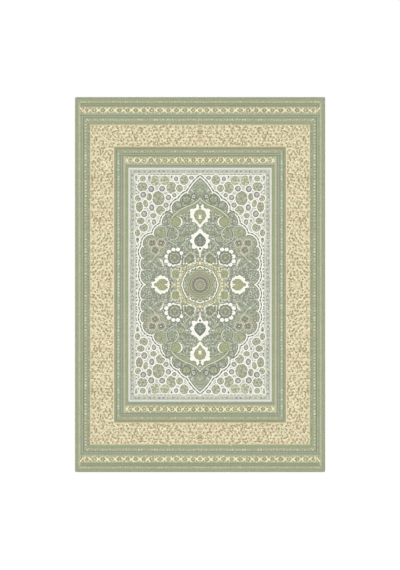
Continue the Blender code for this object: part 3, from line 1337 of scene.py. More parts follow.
@dataclass
class CentreStar(Drawing):
    """The octagon in the middle, the garland round it and the pearled rosettes at its corners."""

    middle: Point = (0.0, 0.0)
    radius: float = 151.0
    rosette_at: Point = (203.0, 215.0)
    pearls: tuple[tuple[float, float, float], ...] = (
        (149, 254, 16), (176, 282, 18), (213, 281, 17.5), (249, 263, 19.5), (267, 226, 19.5), (269, 188, 19),
        (244, 161, 18), (214, 154, 12),
    )
    shield: Route = (
        (131, 206), (131, 166), (107, 166), (86, 160), (69, 165), (52, 173), (37, 189), (39, 212), (47, 239),
        (60, 254), (74, 262), (90, 254), (104, 240), (119, 225),
    )
    curls_at: Point = (140, 133)
    scalloped_at: Point = (196.0, 84.0)

    def draw(self) -> None:
        """Draw the garland with its flowers, the octagon and the pearled rosette."""
        self.discs(self.middle, 40, (191, Yarn.INK), (186, Yarn.HUSK), (172, Yarn.WHEAT))
        self.mottle(self.radius, 184, Strewing(12, 6.5, yarns("LINDEN WALNUT REED BEAD WALNUT WHEAT")))
        self.lay(Yarn.HUSK, flower(self.curls_at, 40, 8, 0.15))
        self.strew(21, self.curls_at, 39, 11.5, 7.5, "BEAD WALNUT BEAD STRIPE TAUPE BUTTER")
        self.shield_flower()
        self.scalloped_flower()
        self.garland()
        self.octagon()
        self.pearled()

    def garland(self) -> None:
        """Draw the beads of the garland and the small flowers where it crosses the rug's axes."""
        beads = ((Yarn.BEAD, 9.5), (Yarn.BUTTER, 7), (Yarn.LINDEN, 9), (Yarn.BUTTER, 8))
        for number, angle in enumerate(np.radians(np.arange(4, 90, 6.6))):
            yarn, half = beads[number % 4]
            place = ray(self.middle, 178 + 5 * math.sin(9 * angle), angle)
            self.lay(yarn, oval(place, half, 6, 7, angle + math.pi / 2 + 0.3 * math.sin(7 * angle)))
        for side in (-1, 1):
            for x, y, yarn in ((0, 207, Yarn.TAUPE), (205, 0, Yarn.STRAW)):
                reach = np.array([24, 24 * side])
                self.lay(yarn, stroke(np.array([(x, y) - reach, (x, y) + reach]), 7))
        self.lay(Yarn.BLUSH, lozenge((0, 212), 11, 11))
        self.lay(Yarn.CREAM, oval((13, 201), 4.5, 10, 7), disc((0, 172), 10, 10))
        self.lay(Yarn.STRAW, lozenge((204, 0), 19, 19))
        self.lay(Yarn.CREAM, lozenge((204, 0), 7, 7))
        self.lay(Yarn.BEAD, disc((222, 14), 8, 6))
        self.lay(Yarn.BUTTER, disc((172, 12), 7.5, 7))

    def shield_flower(self) -> None:
        """Draw the dark flower in a shield of beads, beside the slate palmette's neck."""
        shield = np.array(self.shield, float)
        middle = shield.mean(axis=0)
        for share, yarn in ((1.16, Yarn.REED), (1.06, Yarn.BEAD), (0.90, Yarn.REED)):
            self.lay(yarn, middle + share * (shield - middle))
        self.dots(Yarn.REED, 7, 4, (128, 214), (112, 238), (98, 255), (60, 262), (46, 246), (36, 200),
                  (128, 178), (84, 270))
        self.strew(17, (84, 212), 38, 10.5, 6, "OLIVE MOSS LINDEN INK HUSK TAUPE")
        self.lay(Yarn.LINDEN, leaf((66, 196), (98, 224), 8))
        self.beads(
            (69, 165, 12, 6.5, 0.3, "IVORY"), (51, 173, 10, 6.5, 0.6, "CHALK"),
            (37, 191, 6.5, 11, -0.2, "IVORY"),
            (42, 210, 10, 6, 0, "CHALK"), (117, 227, 9, 6, -0.5, "CHALK"), (102, 241, 8, 5.5, -0.8, "BEAD"),
            (131, 188, 4.5, 13, 0, "BEAD"), (132, 169, 5.5, 7, 0, "IVORY"), (107, 171, 6.5, 6.5, 0, "IVORY"),
            (52, 247, 5, 12, 0.7, "BEAD"), (38, 222, 5, 9, 0, "BEAD"), (86, 160, 8, 5, 0, "IVORY"),
        )
        self.dots(
            Yarn.INK, 6, 6, (52, 222), (53, 196), (64, 236), (88, 237), (115, 215), (72, 180), (121, 194),
        )
        self.lay(Yarn.MOSS, leaf((22, 176), (46, 162), 10))
        self.lay(Yarn.BEAD, leaf((8, 178), (34, 182), 6))

    def scalloped_flower(self) -> None:
        """Draw the green flower in its scalloped cream ring, beside the golden lozenge."""
        centre = self.scalloped_at
        self.heads(centre, 9, 0.10, 0.3, (48, Yarn.REED), (43, Yarn.BEAD), (35, Yarn.OLIVE))
        self.strew(18, centre, 27, 10.5, 5.5, "LINDEN OLIVE HUSK INK")
        self.dots(Yarn.REED, 6, 6, (181, 112), (211, 68), (185, 62), (181, 76), (167, 96))
        self.beads(
            (231, 98, 5.5, 18, -0.1, "MIST"), (229, 70, 6, 12, 0.1, "CHALK"),
            (222, 121, 8, 5.5, -0.7, "BEAD"),
            (212, 47, 12, 5, 0.1, "MIST"), (174, 46, 7, 8, 0, "IVORY"), (188, 44, 7, 5, 0, "MIST"),
            (164, 58, 6, 7, 0.4, "CHALK"), (163, 82, 7, 6, 0, "CHALK"), (155, 75, 6, 5, 0.5, "IVORY"),
            (151, 134, 5, 11, 0, "BUTTER"), (155, 108, 5, 10, 0.3, "BUTTER"), (181, 144, 9, 5, 0, "BEAD"),
            (166, 145, 9, 5, -0.3, "BEAD"), (176, 123, 9, 5, 0.1, "BEAD"), (200, 127, 10, 5, 0.1, "BEAD"),
        )
        self.lay(Yarn.INK, disc((165, 130), 6.5, 7))

    def mottle(self, start: float, end: float, specks: Strewing) -> None:
        """Strew a ring round the middle, from one radius to another."""
        specks.fill(self.plan, np.random.default_rng(int(end)), self.middle, (end, end),
                    lambda x, y: start < math.hypot(x, y) < end)

    def rounded_octagon(self, radius: float) -> Outline:
        """Return an octagon of this reach, with corners on the axes and slightly bowed sides."""
        angles, reach = np.arange(16) * TAU / 16, radius * np.tile([1, 0.962], 8)
        return np.column_stack([reach * np.cos(angles), reach * np.sin(angles)])

    def octagon(self) -> None:
        """Draw the octagon, its ring of slanting petals and the rings in its middle."""
        for grow, yarn in ((8, Yarn.WALNUT), (0, Yarn.IVORY), (-10.5, Yarn.REED), (-15, Yarn.CELADON)):
            self.lay(yarn, self.rounded_octagon(self.radius + grow))
        for petal in range(-1, 8):
            angle = (petal + 0.3) * TAU / 28
            dark = Yarn.SOOT if petal > 3 else Yarn.REED
            for yarn, inner, outer, start, end, width in (
                (yarns("BEAD LINDEN OLIVE")[petal % 3], 108, 136, 0, 0.16, 8.5),
                (Yarn.REED, 110, 134, 0.11, 0.26, 9),
                (dark, 127, 142, 0.06, 0.16, 9),
            ):
                base, tip = ray(self.middle, inner, angle + start), ray(self.middle, outer, angle + end)
                self.lay(yarn, leaf(base, tip, width))
        for place, radius, yarn in (
            ((92, 105), 14, Yarn.MIST), ((90, 104), 6, Yarn.REED), ((76, 107), 6.5, Yarn.IVORY),
            ((51, 105), 5, Yarn.MIST), ((97, 56), 6, Yarn.MIST),
        ):
            self.lay(yarn, disc(place, radius, 8))
        self.lay(Yarn.CHALK, leaf((118, 28), (123, -2), 9), leaf((10, 139), (32, 121), 9))
        self.heads(self.middle, 16, 0.05, 0, (116, Yarn.LINDEN), (111, Yarn.OLIVE), (101, Yarn.REED))
        self.mottle(98, 121, Strewing(12, 5.5, yarns("BEAD TAUPE MOSS OLIVE")))
        self.heads(self.middle, 16, 0.05, 0, (95, Yarn.LINDEN), (89, Yarn.TAUPE), (77, Yarn.LINDEN),
                   (71, Yarn.TAUPE))
        self.heads(self.middle, 8, 0.05, 0, (58, Yarn.ASH), (53, Yarn.TAUPE), (44, Yarn.FLAX),
                   (37, Yarn.TAUPE), (22, Yarn.LINDEN), (16, Yarn.TAUPE), (7, Yarn.MIST))
        for count, radius, size, yarn in (
            (24, 104, 5, Yarn.HUSK), (20, 83, 4.5, Yarn.WALNUT), (16, 64, 4.5, Yarn.DOVE),
            (10, 29, 3.5, Yarn.FLAX),
        ):
            angles = [(number + 0.5) * TAU / count for number in range(-1, count // 4 + 1)]
            self.dots(yarn, size, 5, *(ray(self.middle, radius, angle) for angle in angles))

    def pearled(self) -> None:
        """Draw the rosette ringed with pearls, its straight corner towards the octagon."""
        centre = self.rosette_at
        corner = ((149, 255), (153, 215), (157.5, 168))
        foot = ((161, 162.5), (185, 161), (208, 157))
        self.lay(Yarn.INK, disc(centre, 66, 20))
        for grow, yarn in ((11, Yarn.ASH), (0, Yarn.IVORY)):
            self.lay(yarn, *(stroke(np.array(path), 13.5 + grow, 15 + grow) for path in (corner, foot)))
            for x, y, radius in self.pearls:
                self.lay(yarn, oval((x, y), radius + grow / 2, 0.94 * radius + grow / 2, 10))
        self.lay(Yarn.TAUPE, flower(centre, 58, 12, 0.16, 0.2))
        for radius, corners, yarn in (
            (50.5, 12, Yarn.ASH), (46, 12, Yarn.REED), (41.5, 8, Yarn.MIST), (35, 8, Yarn.REED),
            (30, 10, Yarn.MOSS),
        ):
            self.lay(yarn, disc(centre, radius, corners, TAU / 16))
        for angle in (0.1, 0.9, 1.6, 3, 3.5, 4.7, 5.9):
            self.lay(Yarn.REED, lozenge(ray(centre, 38.5, angle), 6.5, 8, angle))
        self.strew(6, centre, 25, 9.5, 5, "OLIVE LINDEN HUSK INK")
        self.lay(Yarn.LINDEN, flower(centre, 8, 6, 0.2))


# ---- Materials ----


def connect(node: bpy.types.Node, inputs: dict[str | int, Any]) -> None:
    """Set a node's inputs.

    Args:
        node: the node.
        inputs: input names or numbers, each with a value or with another node's output to link.
    """
    for name, value in inputs.items():
        if isinstance(value, bpy.types.NodeSocket):
            node.id_data.links.new(value, node.inputs[name])
        else:
            node.inputs[name].default_value = value


def add_node(tree: bpy.types.NodeTree, kind: str, output: str | int,
             inputs: dict[str | int, Any] | None = None, **settings: Any) -> bpy.types.NodeSocket:
    """Add a node, set its properties and its inputs, and link the inputs that are given a socket.

    Args:
        tree: the tree to add it to.
        kind: the node's type name.
        output: the name or number of the output that is wanted.
        inputs: input names or numbers, each with a value or with another node's output.
        settings: property names and values.

    Returns:
        The wanted output of the new node.
    """
    node = tree.nodes.new(kind)
    for name, value in settings.items():
        setattr(node, name, value)
    connect(node, inputs or {})
    return node.outputs[output]


def new_material(name: str) -> tuple[bpy.types.Material, bpy.types.NodeTree, bpy.types.NodeSocket]:
    """Start a material.

    Args:
        name: its name.

    Returns:
        The material, its node tree and its object coordinates.
    """
    material = bpy.data.materials.new(name)
    material.use_nodes = True
    tree = material.node_tree
    return material, tree, add_node(tree, "ShaderNodeTexCoord", "Object")


@dataclass(frozen=True)
class CutPile:
    """Cut wool pile: tufts of dyed yarn clipped level, matt, with a soft sheen at a low angle."""

    tuft: float = 4.0 * MM
    mottle: float = 11.0 * MM
    weft_band: float = 45.0 * MM
    skein: float = 60.0 * MM
    relief: float = 0.6 * MM

    def dress(self, yarn: Yarn) -> bpy.types.Material:
        """Make one yarn's material.

        Args:
            yarn: which wool.

        Returns:
            The material, patterned in object coordinates.
        """
        plain, ply = yarn.value
        material, tree, place = new_material(f"wool_pile_{yarn.name.lower()}")
        # Two plies of slightly different dye give a heathered, mottled colour from tuft to tuft.
        heather = add_node(tree, "ShaderNodeTexNoise", "Fac", {
            "Vector": place, "Scale": 1.0 / self.mottle, "Detail": 3.0, "Roughness": 0.62,
        })
        share = add_node(tree, "ShaderNodeMapRange", "Result", {
            "Value": heather, "From Min": 0.36, "From Max": 0.64,
        })
        colours = {0: share, 6: linear(plain), 7: linear(ply)}
        mixed = add_node(tree, "ShaderNodeMix", 2, colours, data_type="RGBA")
        # Faint bands across the width, where one dye lot gives way to the next.
        stretched = add_node(tree, "ShaderNodeMapping", "Vector", {
            "Vector": place, "Scale": (0.9, 1.0 / self.weft_band, 1.0),
        })
        lot = add_node(tree, "ShaderNodeTexNoise", "Fac", {"Vector": stretched, "Scale": 1.0, "Detail": 2.0})
        value = add_node(tree, "ShaderNodeMapRange", "Result", {
            "Value": lot, "From Min": 0.3, "From Max": 0.7, "To Min": 0.97, "To Max": 1.03,
        })
        # Hand-dyed skeins drift a little between warm and cool over a hand's breadth.
        drift = add_node(tree, "ShaderNodeTexNoise", "Fac", {
            "Vector": place, "Scale": 1.0 / self.skein, "Detail": 2.0,
        })
        hue = add_node(tree, "ShaderNodeMapRange", "Result", {
            "Value": drift, "From Min": 0.3, "From Max": 0.7, "To Min": 0.485, "To Max": 0.515,
        })
        shaded = add_node(tree, "ShaderNodeHueSaturation", "Color", {
            "Color": mixed, "Value": value, "Hue": hue,
        })
        # The clipped ends of the tufts stand in rows, with shallow gaps between them.
        tufts = add_node(tree, "ShaderNodeTexVoronoi", "Distance", {
            "Vector": place, "Scale": 1.0 / self.tuft, "Randomness": 0.55,
        }, feature="F1")
        fibres = add_node(tree, "ShaderNodeTexNoise", "Fac", {
            "Vector": place, "Scale": 5.0 / self.tuft, "Detail": 2.0,
        })
        parts = {0: tufts, 1: -1.0, 2: fibres}
        height = add_node(tree, "ShaderNodeMath", "Value", parts, operation="MULTIPLY_ADD")
        normal = add_node(tree, "ShaderNodeBump", "Normal", {
            "Height": height, "Strength": 0.55, "Distance": self.relief,
        })
        connect(tree.nodes["Principled BSDF"], {
            "Base Color": shaded, "Normal": normal, "Roughness": 0.92, "Specular IOR Level": 0.2,
            "Sheen Weight": 0.12, "Sheen Roughness": 0.6,
        })
        return material


@dataclass(frozen=True)
class OvercastWool:
    """Two-ply wool yarn wound over the edge: matt, each turn a little lighter or darker than the next."""

    colour: str = "#9fa688"
    ply_width: float = 1.6 * MM
    relief: float = 0.4 * MM

    def dress(self) -> bpy.types.Material:
        """Make the edge yarn's material, with the twist of its plies as a fine bump.

        Returns:
            The material.
        """
        material, tree, place = new_material("wool_overcast")
        turn = add_node(tree, "ShaderNodeAttribute", "Fac", attribute_name="turn_shade")
        value = add_node(tree, "ShaderNodeMapRange", "Result", {
            "Value": turn, "To Min": 0.93, "To Max": 1.05,
        })
        shaded = add_node(tree, "ShaderNodeHueSaturation", "Color", {
            "Color": linear(self.colour), "Value": value,
        })
        fibres = add_node(tree, "ShaderNodeTexNoise", "Fac", {
            "Vector": place, "Scale": 1.0 / self.ply_width, "Detail": 3.0,
        })
        normal = add_node(tree, "ShaderNodeBump", "Normal", {
            "Height": fibres, "Strength": 0.4, "Distance": self.relief,
        })
        connect(tree.nodes["Principled BSDF"], {
            "Base Color": shaded, "Normal": normal, "Roughness": 0.9, "Specular IOR Level": 0.25,
            "Sheen Weight": 0.1,
        })
        return material


@dataclass(frozen=True)
class PlainGround:
    """Undyed cotton and jute ground cloth: coarse plain weave in straw and natural white.

    The wave length is that of Blender's wave texture at a scale of 1.
    """

    cotton: str = "#d8cdb2"
    jute: str = "#b39c74"
    pick: float = 4.0 * MM
    relief: float = 0.6 * MM
    wave_length: float = 0.314

    def dress(self) -> bpy.types.Material:
        """Make the ground's material: weft ribs crossed by warps, in two natural tones.

        Returns:
            The material.
        """
        material, tree, place = new_material("cotton_jute_ground")
        ribs = add_node(tree, "ShaderNodeTexWave", "Fac", {
            "Vector": place, "Scale": self.wave_length / self.pick, "Distortion": 0.6, "Detail": 1.0,
        }, wave_type="BANDS", bands_direction="X")
        slubs = add_node(tree, "ShaderNodeTexNoise", "Fac", {
            "Vector": place, "Scale": 0.4 / self.pick, "Detail": 4.0,
        })
        share = add_node(tree, "ShaderNodeMath", "Value", {0: ribs, 1: slubs}, operation="MULTIPLY")
        colours = {0: share, 6: linear(self.cotton), 7: linear(self.jute)}
        mixed = add_node(tree, "ShaderNodeMix", 2, colours, data_type="RGBA")
        normal = add_node(tree, "ShaderNodeBump", "Normal", {
            "Height": share, "Strength": 0.5, "Distance": self.relief,
        })
        connect(tree.nodes["Principled BSDF"], {
            "Base Color": mixed, "Normal": normal, "Roughness": 0.95, "Specular IOR Level": 0.2,
        })
        return material


@dataclass(frozen=True)
class StudioPaper:
    """Matt white background paper, laid flat."""

    colour: str = "#ffffff"

    def dress(self) -> bpy.types.Material:
        """Make the paper's plain material.

        Returns:
            The material.
        """
        material = bpy.data.materials.new("matt_paper")
        material.use_nodes = True
        connect(material.node_tree.nodes["Principled BSDF"], {
            "Base Color": linear(self.colour), "Roughness": 1.0, "Specular IOR Level": 0.0,
        })
        return material


# ---- Pieces ----


def link_object(name: str, data: Any) -> bpy.types.Object:
    """Put something in the scene as an object at the origin.

    Args:
        name: the object's name.
        data: its mesh, camera or light.

    Returns:
        The object.
    """
    made = bpy.data.objects.new(name, data)
    bpy.context.scene.collection.objects.link(made)
    return made


def new_mesh(name: str, points_mm: Any, edges: list, faces: list) -> bpy.types.Mesh:
    """Make a mesh from points in millimetres.

    Args:
        name: its name.
        points_mm: its points.
        edges: pairs of point numbers, for a mesh without faces.
        faces: its faces' point numbers.

    Returns:
        The mesh, in metres.
    """
    mesh = bpy.data.meshes.new(name)
    mesh.from_pydata((np.array(points_mm, float) * MM).tolist(), edges, faces)
    return mesh


def soften(mesh: bpy.types.Mesh, degrees: float) -> None:
    """Shade a mesh smooth, but for the edges that are sharper than this."""
    mesh.shade_smooth()
    mesh.set_sharp_from_angle(angle=math.radians(degrees))


def finish_piece(piece: bpy.types.Object) -> None:
    """Let a piece ride on the rug's only body.

    Args:
        piece: the piece.
    """
    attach(piece, "root")
    LOG.info("%s: %d faces", piece.name, len(piece.data.polygons))


@dataclass
class Pile:
    """The pile: closed sheets that meet edge to edge, their faces cut into the pattern's yarns."""

    half_width: float
    half_length: float
    low: float
    high: float
    swell: float = 0.35
    calm_edge: float = 60.0
    rim: float = 7.0
    map_strip: float = 0.02
    hidden_yarn: Yarn = Yarn.SAGE

    def pattern(self) -> QuarterPlan:
        """Draw the whole quarter plan, from the outer stripes to the middle.

        Returns:
            The plan.
        """
        width, length = self.half_width - self.rim, self.half_length - self.rim
        plan = QuarterPlan(width, length, Yarn.SAGE, "rug_pile_margin")
        stripes, border, medallion = GuardStripes(plan), GreatBorder(plan), Medallion(plan)
        stripes.draw_outer()
        OrnamentBand(plan, low=1366.0, high=1423.0, reach=956.0, pitch=65.5, seed=8, closed=True).draw()
        border.surround()
        stripes.draw_beads(stripes.outer_beads)
        plan.open_piece("rug_pile_border")
        border.draw()
        plan.open_piece("rug_pile_field")
        stripes.draw_inner()
        OrnamentBand(plan, low=966.0, high=1023.0, reach=598.0, pitch=56.25, seed=9).draw()
        stripes.draw_side_line()
        FieldFrame(plan).draw()
        FlowerField(plan).draw(medallion.edge(medallion.outer_line))
        medallion.draw()
        for drawing in (Arabesques, Palmettes, CentreStar):
            drawing(plan).draw()
        return plan

    def build(self) -> list[bpy.types.Object]:
        """Cut the plan into knots of yarn, close the sheets and dress them.

        Returns:
            The pile's four pieces: margin, border, field and medallion.
        """
        plan = self.pattern()
        whole = plan.knotted().mirrored()
        wools = [CutPile().dress(yarn) for yarn in Yarn]
        return [
            self.sheet(name, whole, whole.pieces == number, wools)
            for number, name in enumerate(plan.openings)
        ]

    def sheet(self, name: str, whole: Knotwork, mine: np.ndarray,
              wools: list[bpy.types.Material]) -> bpy.types.Object:
        """Build one closed sheet of the pile.

        Args:
            name: its name.
            whole: the whole rug's knotwork.
            mine: which of its triangles are this sheet's.
            wools: the yarns' materials, in the yarns' order.

        Returns:
            The sheet's object.
        """
        used, index = np.unique(whole.triangles[mine], return_inverse=True)
        points, triangles, count = whole.points[used], index.reshape(-1, 3), len(used)
        loops = self.rim_loops(points, triangles)
        rim = np.concatenate(loops)
        top = np.column_stack([points, self.height(points)])
        bottom = np.column_stack([points[rim], np.full(len(rim), self.low)])
        below = np.zeros(count, int)
        below[rim] = count + np.arange(len(rim))
        ahead = np.concatenate([np.roll(loop, -1) for loop in loops])
        walls = np.column_stack([rim, below[rim], below[ahead], ahead]).tolist()
        floor = (count + self.floor(points, loops)).tolist()
        mesh = new_mesh(name, np.vstack([top, bottom]), [], triangles.tolist() + walls + floor)
        for wool in wools:
            mesh.materials.append(wool)
        hidden = np.full(len(walls) + len(floor), list(Yarn).index(self.hidden_yarn))
        finishes = np.concatenate([whole.yarns[mine], hidden]).astype(np.int32)
        mesh.polygons.foreach_set("material_index", finishes)
        soften(mesh, 40.0)
        self.lay_map(mesh, len(triangles))
        mesh.update()
        return link_object(name, mesh)

    def height(self, points: np.ndarray) -> np.ndarray:
        """Return the height of the pile's face at each point: level, with the softest swell.

        Args:
            points: the places, in millimetres from the rug's middle.

        Returns:
            The heights, in millimetres.
        """
        x, y = points.T
        calm = np.minimum(self.half_width - abs(x), self.half_length - abs(y)) / self.calm_edge
        wave = np.sin(x / 97.0 + 1.3) * np.sin(y / 131.0) + 0.6 * np.sin(x / 41.0) * np.sin(y / 57.0 + 0.7)
        return self.high + self.swell * np.clip(calm, 0.0, 1.0) * (wave - 1.0)

    @staticmethod
    def rim_loops(points: np.ndarray, triangles: np.ndarray) -> list[np.ndarray]:
        """Return a sheet's open edges as loops of vertices, in the order that its triangles go round.

        Args:
            points: the sheet's points.
            triangles: its triangles.

        Returns:
            The loops, the one that reaches furthest out first.
        """
        edges = {(int(a), int(b)) for shift in range(3) for a, b in np.roll(triangles, shift, axis=1)[:, :2]}
        following = {a: b for a, b in edges if (b, a) not in edges}
        loops = []
        while following:
            loop = [min(following)]
            while (ahead := following.pop(loop[-1])) != loop[0]:
                loop.append(ahead)
            loops.append(np.array(loop))
        return sorted(loops, key=lambda loop: -float(points[loop, 0].max()))

    @staticmethod
    def floor(points: np.ndarray, loops: list[np.ndarray]) -> np.ndarray:
        """Cut the underside into triangles that use no points but the rim's.

        Args:
            points: the sheet's points.
            loops: its open edges, the outer one first, then those of its opening.

        Returns:
            The triangles, facing down, as numbers along the joined loops.
        """
        starts = np.cumsum([0] + [len(loop) for loop in loops])
        outlines = [list(range(start, end)) for start, end in zip(starts[:-1], starts[1:])]
        outlines[1:] = [outline[::-1] for outline in outlines[1:]]
        places = [Vector(place) for place in points[np.concatenate(loops)].tolist()]
        _, _, triangles, origins, _, covers = delaunay_2d_cdt(places, [], outlines, 0, 0.0, True)
        first = [origin[0] for origin in origins]
        kept = [triangle for triangle, cover in zip(triangles, covers) if cover == [0]]
        return np.array([[first[c], first[b], first[a]] for a, b, c in kept])

    def lay_map(self, mesh: bpy.types.Mesh, face_count: int) -> None:
        """Give the face of a sheet nearly the whole of its own map, and the rest a strip below.

        Args:
            mesh: the sheet.
            face_count: how many of its first polygons make up its face.
        """
        corners = np.empty(len(mesh.loops), np.int32)
        mesh.loops.foreach_get("vertex_index", corners)
        places = np.empty(len(mesh.vertices) * 3)
        mesh.vertices.foreach_get("co", places)
        places = places.reshape(-1, 3)[:, :2]
        across, along = ((places - places.min(axis=0)) / np.ptp(places, axis=0))[corners].T
        starts = np.empty(len(mesh.polygons), np.int32)
        mesh.polygons.foreach_get("loop_start", starts)
        hidden = np.arange(len(corners)) >= starts[face_count]
        up = np.where(hidden, 0.7 * along * self.map_strip, self.map_strip + along * (1 - self.map_strip))
        layer = mesh.uv_layers.new(name="OFBake")
        layer.data.foreach_set("uv", np.column_stack([across, up]).astype(np.float32).ravel())


@dataclass
class GroundSheet:
    """The woven ground under the pile: a thin sheet whose underside is ribbed by its wefts."""

    half_width: float
    half_length: float
    high: float
    inset: float = 8.0
    rib: float = 8.0
    relief: float = 0.7

    def build(self) -> bpy.types.Object:
        """Build the ribbed sheet from rows across the rug, closed all round.

        Returns:
            The ground's object.
        """
        half_x, half_y = self.half_width - self.inset, self.half_length - self.inset
        rows = int(round(2 * half_y / self.rib)) * 4
        along = np.linspace(-half_y, half_y, rows + 1)
        rise = self.relief * (0.5 - 0.5 * np.cos(np.arange(rows + 1) * TAU / 4))
        points = [(x, y, z) for y, z in zip(along, rise) for x in (-half_x, half_x)]
        points += [(x, y, self.high) for y in (-half_y, half_y) for x in (-half_x, half_x)]
        faces = [[2 * i, 2 * i + 2, 2 * i + 3, 2 * i + 1] for i in range(rows)]
        top = 2 * (rows + 1)
        faces += [
            [top, top + 1, top + 3, top + 2],
            [0, 1, top + 1, top],
            [2 * rows + 1, 2 * rows, top + 2, top + 3],
            [*range(2 * rows, -1, -2), top, top + 2],
            [*range(1, 2 * rows + 2, 2), top + 3, top + 1],
        ]
        mesh = new_mesh("rug_ground", points, [], faces)
        mesh.materials.append(PlainGround().dress())
        soften(mesh, 50.0)
        return link_object("rug_ground", mesh)


@dataclass
class OvercastEdge:
    """The edge yarn: one turn after another along each side, made by Geometry Nodes on four runs."""

    half_width: float
    half_length: float
    thickness: float
    reach: float = 13.0
    yarn_width: float = 5.2
    yarn_thickness: float = 2.2
    pitch: float = 5.0
    seed: int = 7

    def build(self) -> bpy.types.Object:
        """Grow the turns on runs along the rim and keep the result as a plain mesh.

        Returns:
            The edge's object.
        """
        holder = link_object("edge_path", self.runs())
        modifier = holder.modifiers.new("overcast", "NODES")
        modifier.node_group = self.tree()
        sizes = {
            "Pitch": self.pitch * MM,
            "Reach": (self.reach - self.yarn_thickness) / 2 * MM,
            "Rise": (self.thickness - self.yarn_thickness) / 2 * MM,
            "Yarn": self.yarn_thickness / 2 * MM,
            "Flatness": self.yarn_width / self.yarn_thickness,
            "Seed": self.seed,
            "Finish": OvercastWool().dress(),
        }
        sockets = {item.name: item.identifier for item in modifier.node_group.interface.items_tree}
        for name, value in sizes.items():
            modifier[sockets[name]] = value
        evaluated = holder.evaluated_get(bpy.context.evaluated_depsgraph_get())
        mesh = bpy.data.meshes.new_from_object(evaluated)
        mesh.name = "rug_edging"
        bpy.data.objects.remove(holder)
        return link_object("rug_edging", mesh)

    def runs(self) -> bpy.types.Mesh:
        """Lay four straight edges: the long sides with the corners, the ends between them.

        Returns:
            The edges, as a mesh.
        """
        across, along = self.half_width - self.reach / 2, self.half_length - self.reach / 2
        side, end = (
            self.pitch * int((2 * half - self.yarn_width) / self.pitch) / 2 + 0.01
            for half in (self.half_length, self.half_width - self.reach)
        )
        points = [(x, y, self.thickness / 2) for x in (-across, across) for y in (-side, side)]
        points += [(x, y, self.thickness / 2) for y in (-along, along) for x in (-end, end)]
        return new_mesh("edge_path", points, [(0, 1), (2, 3), (4, 5), (6, 7)], [])

    def tree(self) -> bpy.types.NodeTree:
        """Build the node tree: points along the runs, and a loop of yarn on each.

        Returns:
            The tree.
        """
        tree = bpy.data.node_groups.new("overcast_edge", "GeometryNodeTree")
        for name, kind in (
            ("Runs", "Geometry"), ("Pitch", "Float"), ("Reach", "Float"), ("Rise", "Float"),
            ("Yarn", "Float"), ("Flatness", "Float"), ("Seed", "Int"), ("Finish", "Material"),
        ):
            tree.interface.new_socket(name, in_out="INPUT", socket_type=f"NodeSocket{kind}")
        tree.interface.new_socket("Geometry", in_out="OUTPUT", socket_type="NodeSocketGeometry")
        size = add_node(tree, "NodeGroupInput", 0).node.outputs
        path = add_node(tree, "GeometryNodeMeshToCurve", "Curve", {"Mesh": size["Runs"]})
        places = add_node(tree, "GeometryNodeCurveToPoints", "Points", {
            "Curve": path, "Length": size["Pitch"],
        }, mode="LENGTH")
        loop = self.loop(tree, size)
        shade = add_node(tree, "FunctionNodeRandomValue", 1, {"Seed": size["Seed"]}, data_type="FLOAT")
        turns = add_node(tree, "GeometryNodeInstanceOnPoints", "Instances", {
            "Points": places, "Instance": loop, "Rotation": places.node.outputs["Rotation"],
        })
        shaded = add_node(tree, "GeometryNodeStoreNamedAttribute", "Geometry", {
            "Geometry": turns, "Name": "turn_shade", "Value": shade,
        }, data_type="FLOAT", domain="INSTANCE")
        real = add_node(tree, "GeometryNodeRealizeInstances", "Geometry", {"Geometry": shaded})
        smooth_faces = add_node(tree, "GeometryNodeSetShadeSmooth", "Geometry", {"Geometry": real})
        dressed = add_node(tree, "GeometryNodeSetMaterial", "Geometry", {
            "Geometry": smooth_faces, "Material": size["Finish"],
        })
        connect(tree.nodes.new("NodeGroupOutput"), {"Geometry": dressed})
        return tree

    def loop(self, tree: bpy.types.NodeTree, size: Any) -> bpy.types.NodeSocket:
        """Add the nodes of one turn of yarn, square to the path.

        Args:
            tree: the tree to add them to.
            size: the tree's named inputs.

        Returns:
            The output that holds the turn's mesh.
        """
        drawn = []
        for corners, radius, scale in (
            (8, 1.0, {"X": size["Reach"], "Y": size["Rise"], "Z": 1.0}),
            (4, size["Yarn"], {"X": 1.0, "Y": size["Flatness"], "Z": 1.0}),
        ):
            ring = add_node(tree, "GeometryNodeCurvePrimitiveCircle", "Curve", {
                "Resolution": corners, "Radius": radius,
            }, mode="RADIUS")
            shape = add_node(tree, "ShaderNodeCombineXYZ", "Vector", scale)
            drawn.append(add_node(tree, "GeometryNodeTransform", "Geometry", {
                "Geometry": ring, "Scale": shape,
            }))
        path, profile = drawn
        return add_node(tree, "GeometryNodeCurveToMesh", "Mesh", {"Curve": path, "Profile Curve": profile})


# ---- Studio ----


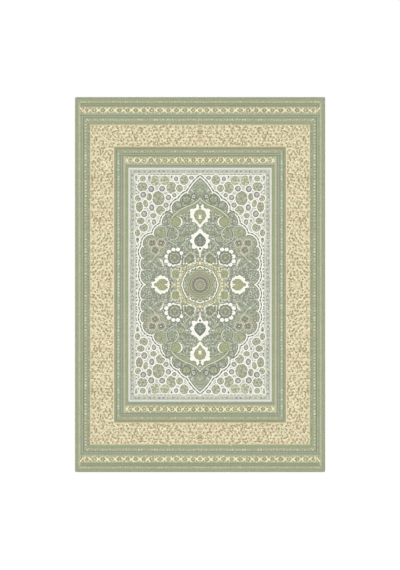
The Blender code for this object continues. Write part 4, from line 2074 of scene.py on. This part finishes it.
@dataclass
class Studio:
    """White paper under the rug, an even soft light and a camera straight above."""

    frame_height: float = 4.5615
    distance: float = 12.0
    sensor: float = 36.0
    aim: Point = (-0.0002, -0.0025)
    far: float = 200.0
    paper_half: float = 30.0
    sky: float = 0.80
    key: float = 0.9
    key_spread: float = 40.0
    key_tilt: Point = (28.0, -24.0)

    def build(self, top: float) -> None:
        """Set up the floor, the lights, the camera and the view's colours.

        Args:
            top: the height of the rug's face, which the camera is set back from.
        """
        paper = bpy.data.meshes.new("floor")
        corners = box(-self.paper_half, -self.paper_half, self.paper_half, self.paper_half)
        paper.from_pydata([(x, y, 0.0) for x, y in corners], [], [(0, 1, 2, 3)])
        paper.materials.append(StudioPaper().dress())
        link_object("floor", paper)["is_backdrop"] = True
        camera = bpy.data.cameras.new("camera")
        camera.sensor_width = self.sensor
        camera.lens = self.sensor * self.distance / self.frame_height
        camera.clip_end = self.far
        above = link_object("camera", camera)
        above.location = (*self.aim, top + self.distance)
        bpy.context.scene.camera = above
        self.light()
        bpy.context.scene.view_settings.view_transform = "Standard"

    def light(self) -> None:
        """Add the even sky and a broad, weak key light from the upper left."""
        world = bpy.data.worlds.new("studio")
        world.use_nodes = True
        connect(world.node_tree.nodes["Background"], {"Color": linear("#ffffff"), "Strength": self.sky})
        bpy.context.scene.world = world
        sun = bpy.data.lights.new("key", "SUN")
        sun.energy = self.key
        sun.angle = math.radians(self.key_spread)
        link_object("key", sun).rotation_euler = (*map(math.radians, self.key_tilt), 0.0)


def main() -> None:
    logging.basicConfig(level=logging.INFO, format="%(message)s")
    low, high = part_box("rug")
    half_width, half_length, thickness = high.x / MM, high.y / MM, (high.z - low.z) / MM
    ground_high = 2.6
    Studio().build(high.z)
    ground = GroundSheet(half_width, half_length, ground_high).build()
    finish_piece(ground)
    piles = Pile(half_width, half_length, ground_high, thickness).build()
    for pile in piles:
        finish_piece(pile)
    edging = OvercastEdge(half_width, half_length, thickness).build()
    finish_piece(edging)
    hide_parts("rug")


if __name__ == "__main__":
    main()
    boxes = {"cad": CAD_BOUNDS, "visual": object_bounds()}
    {name: [list(map(float, corner)) for corner in held] for name, held in boxes.items()}
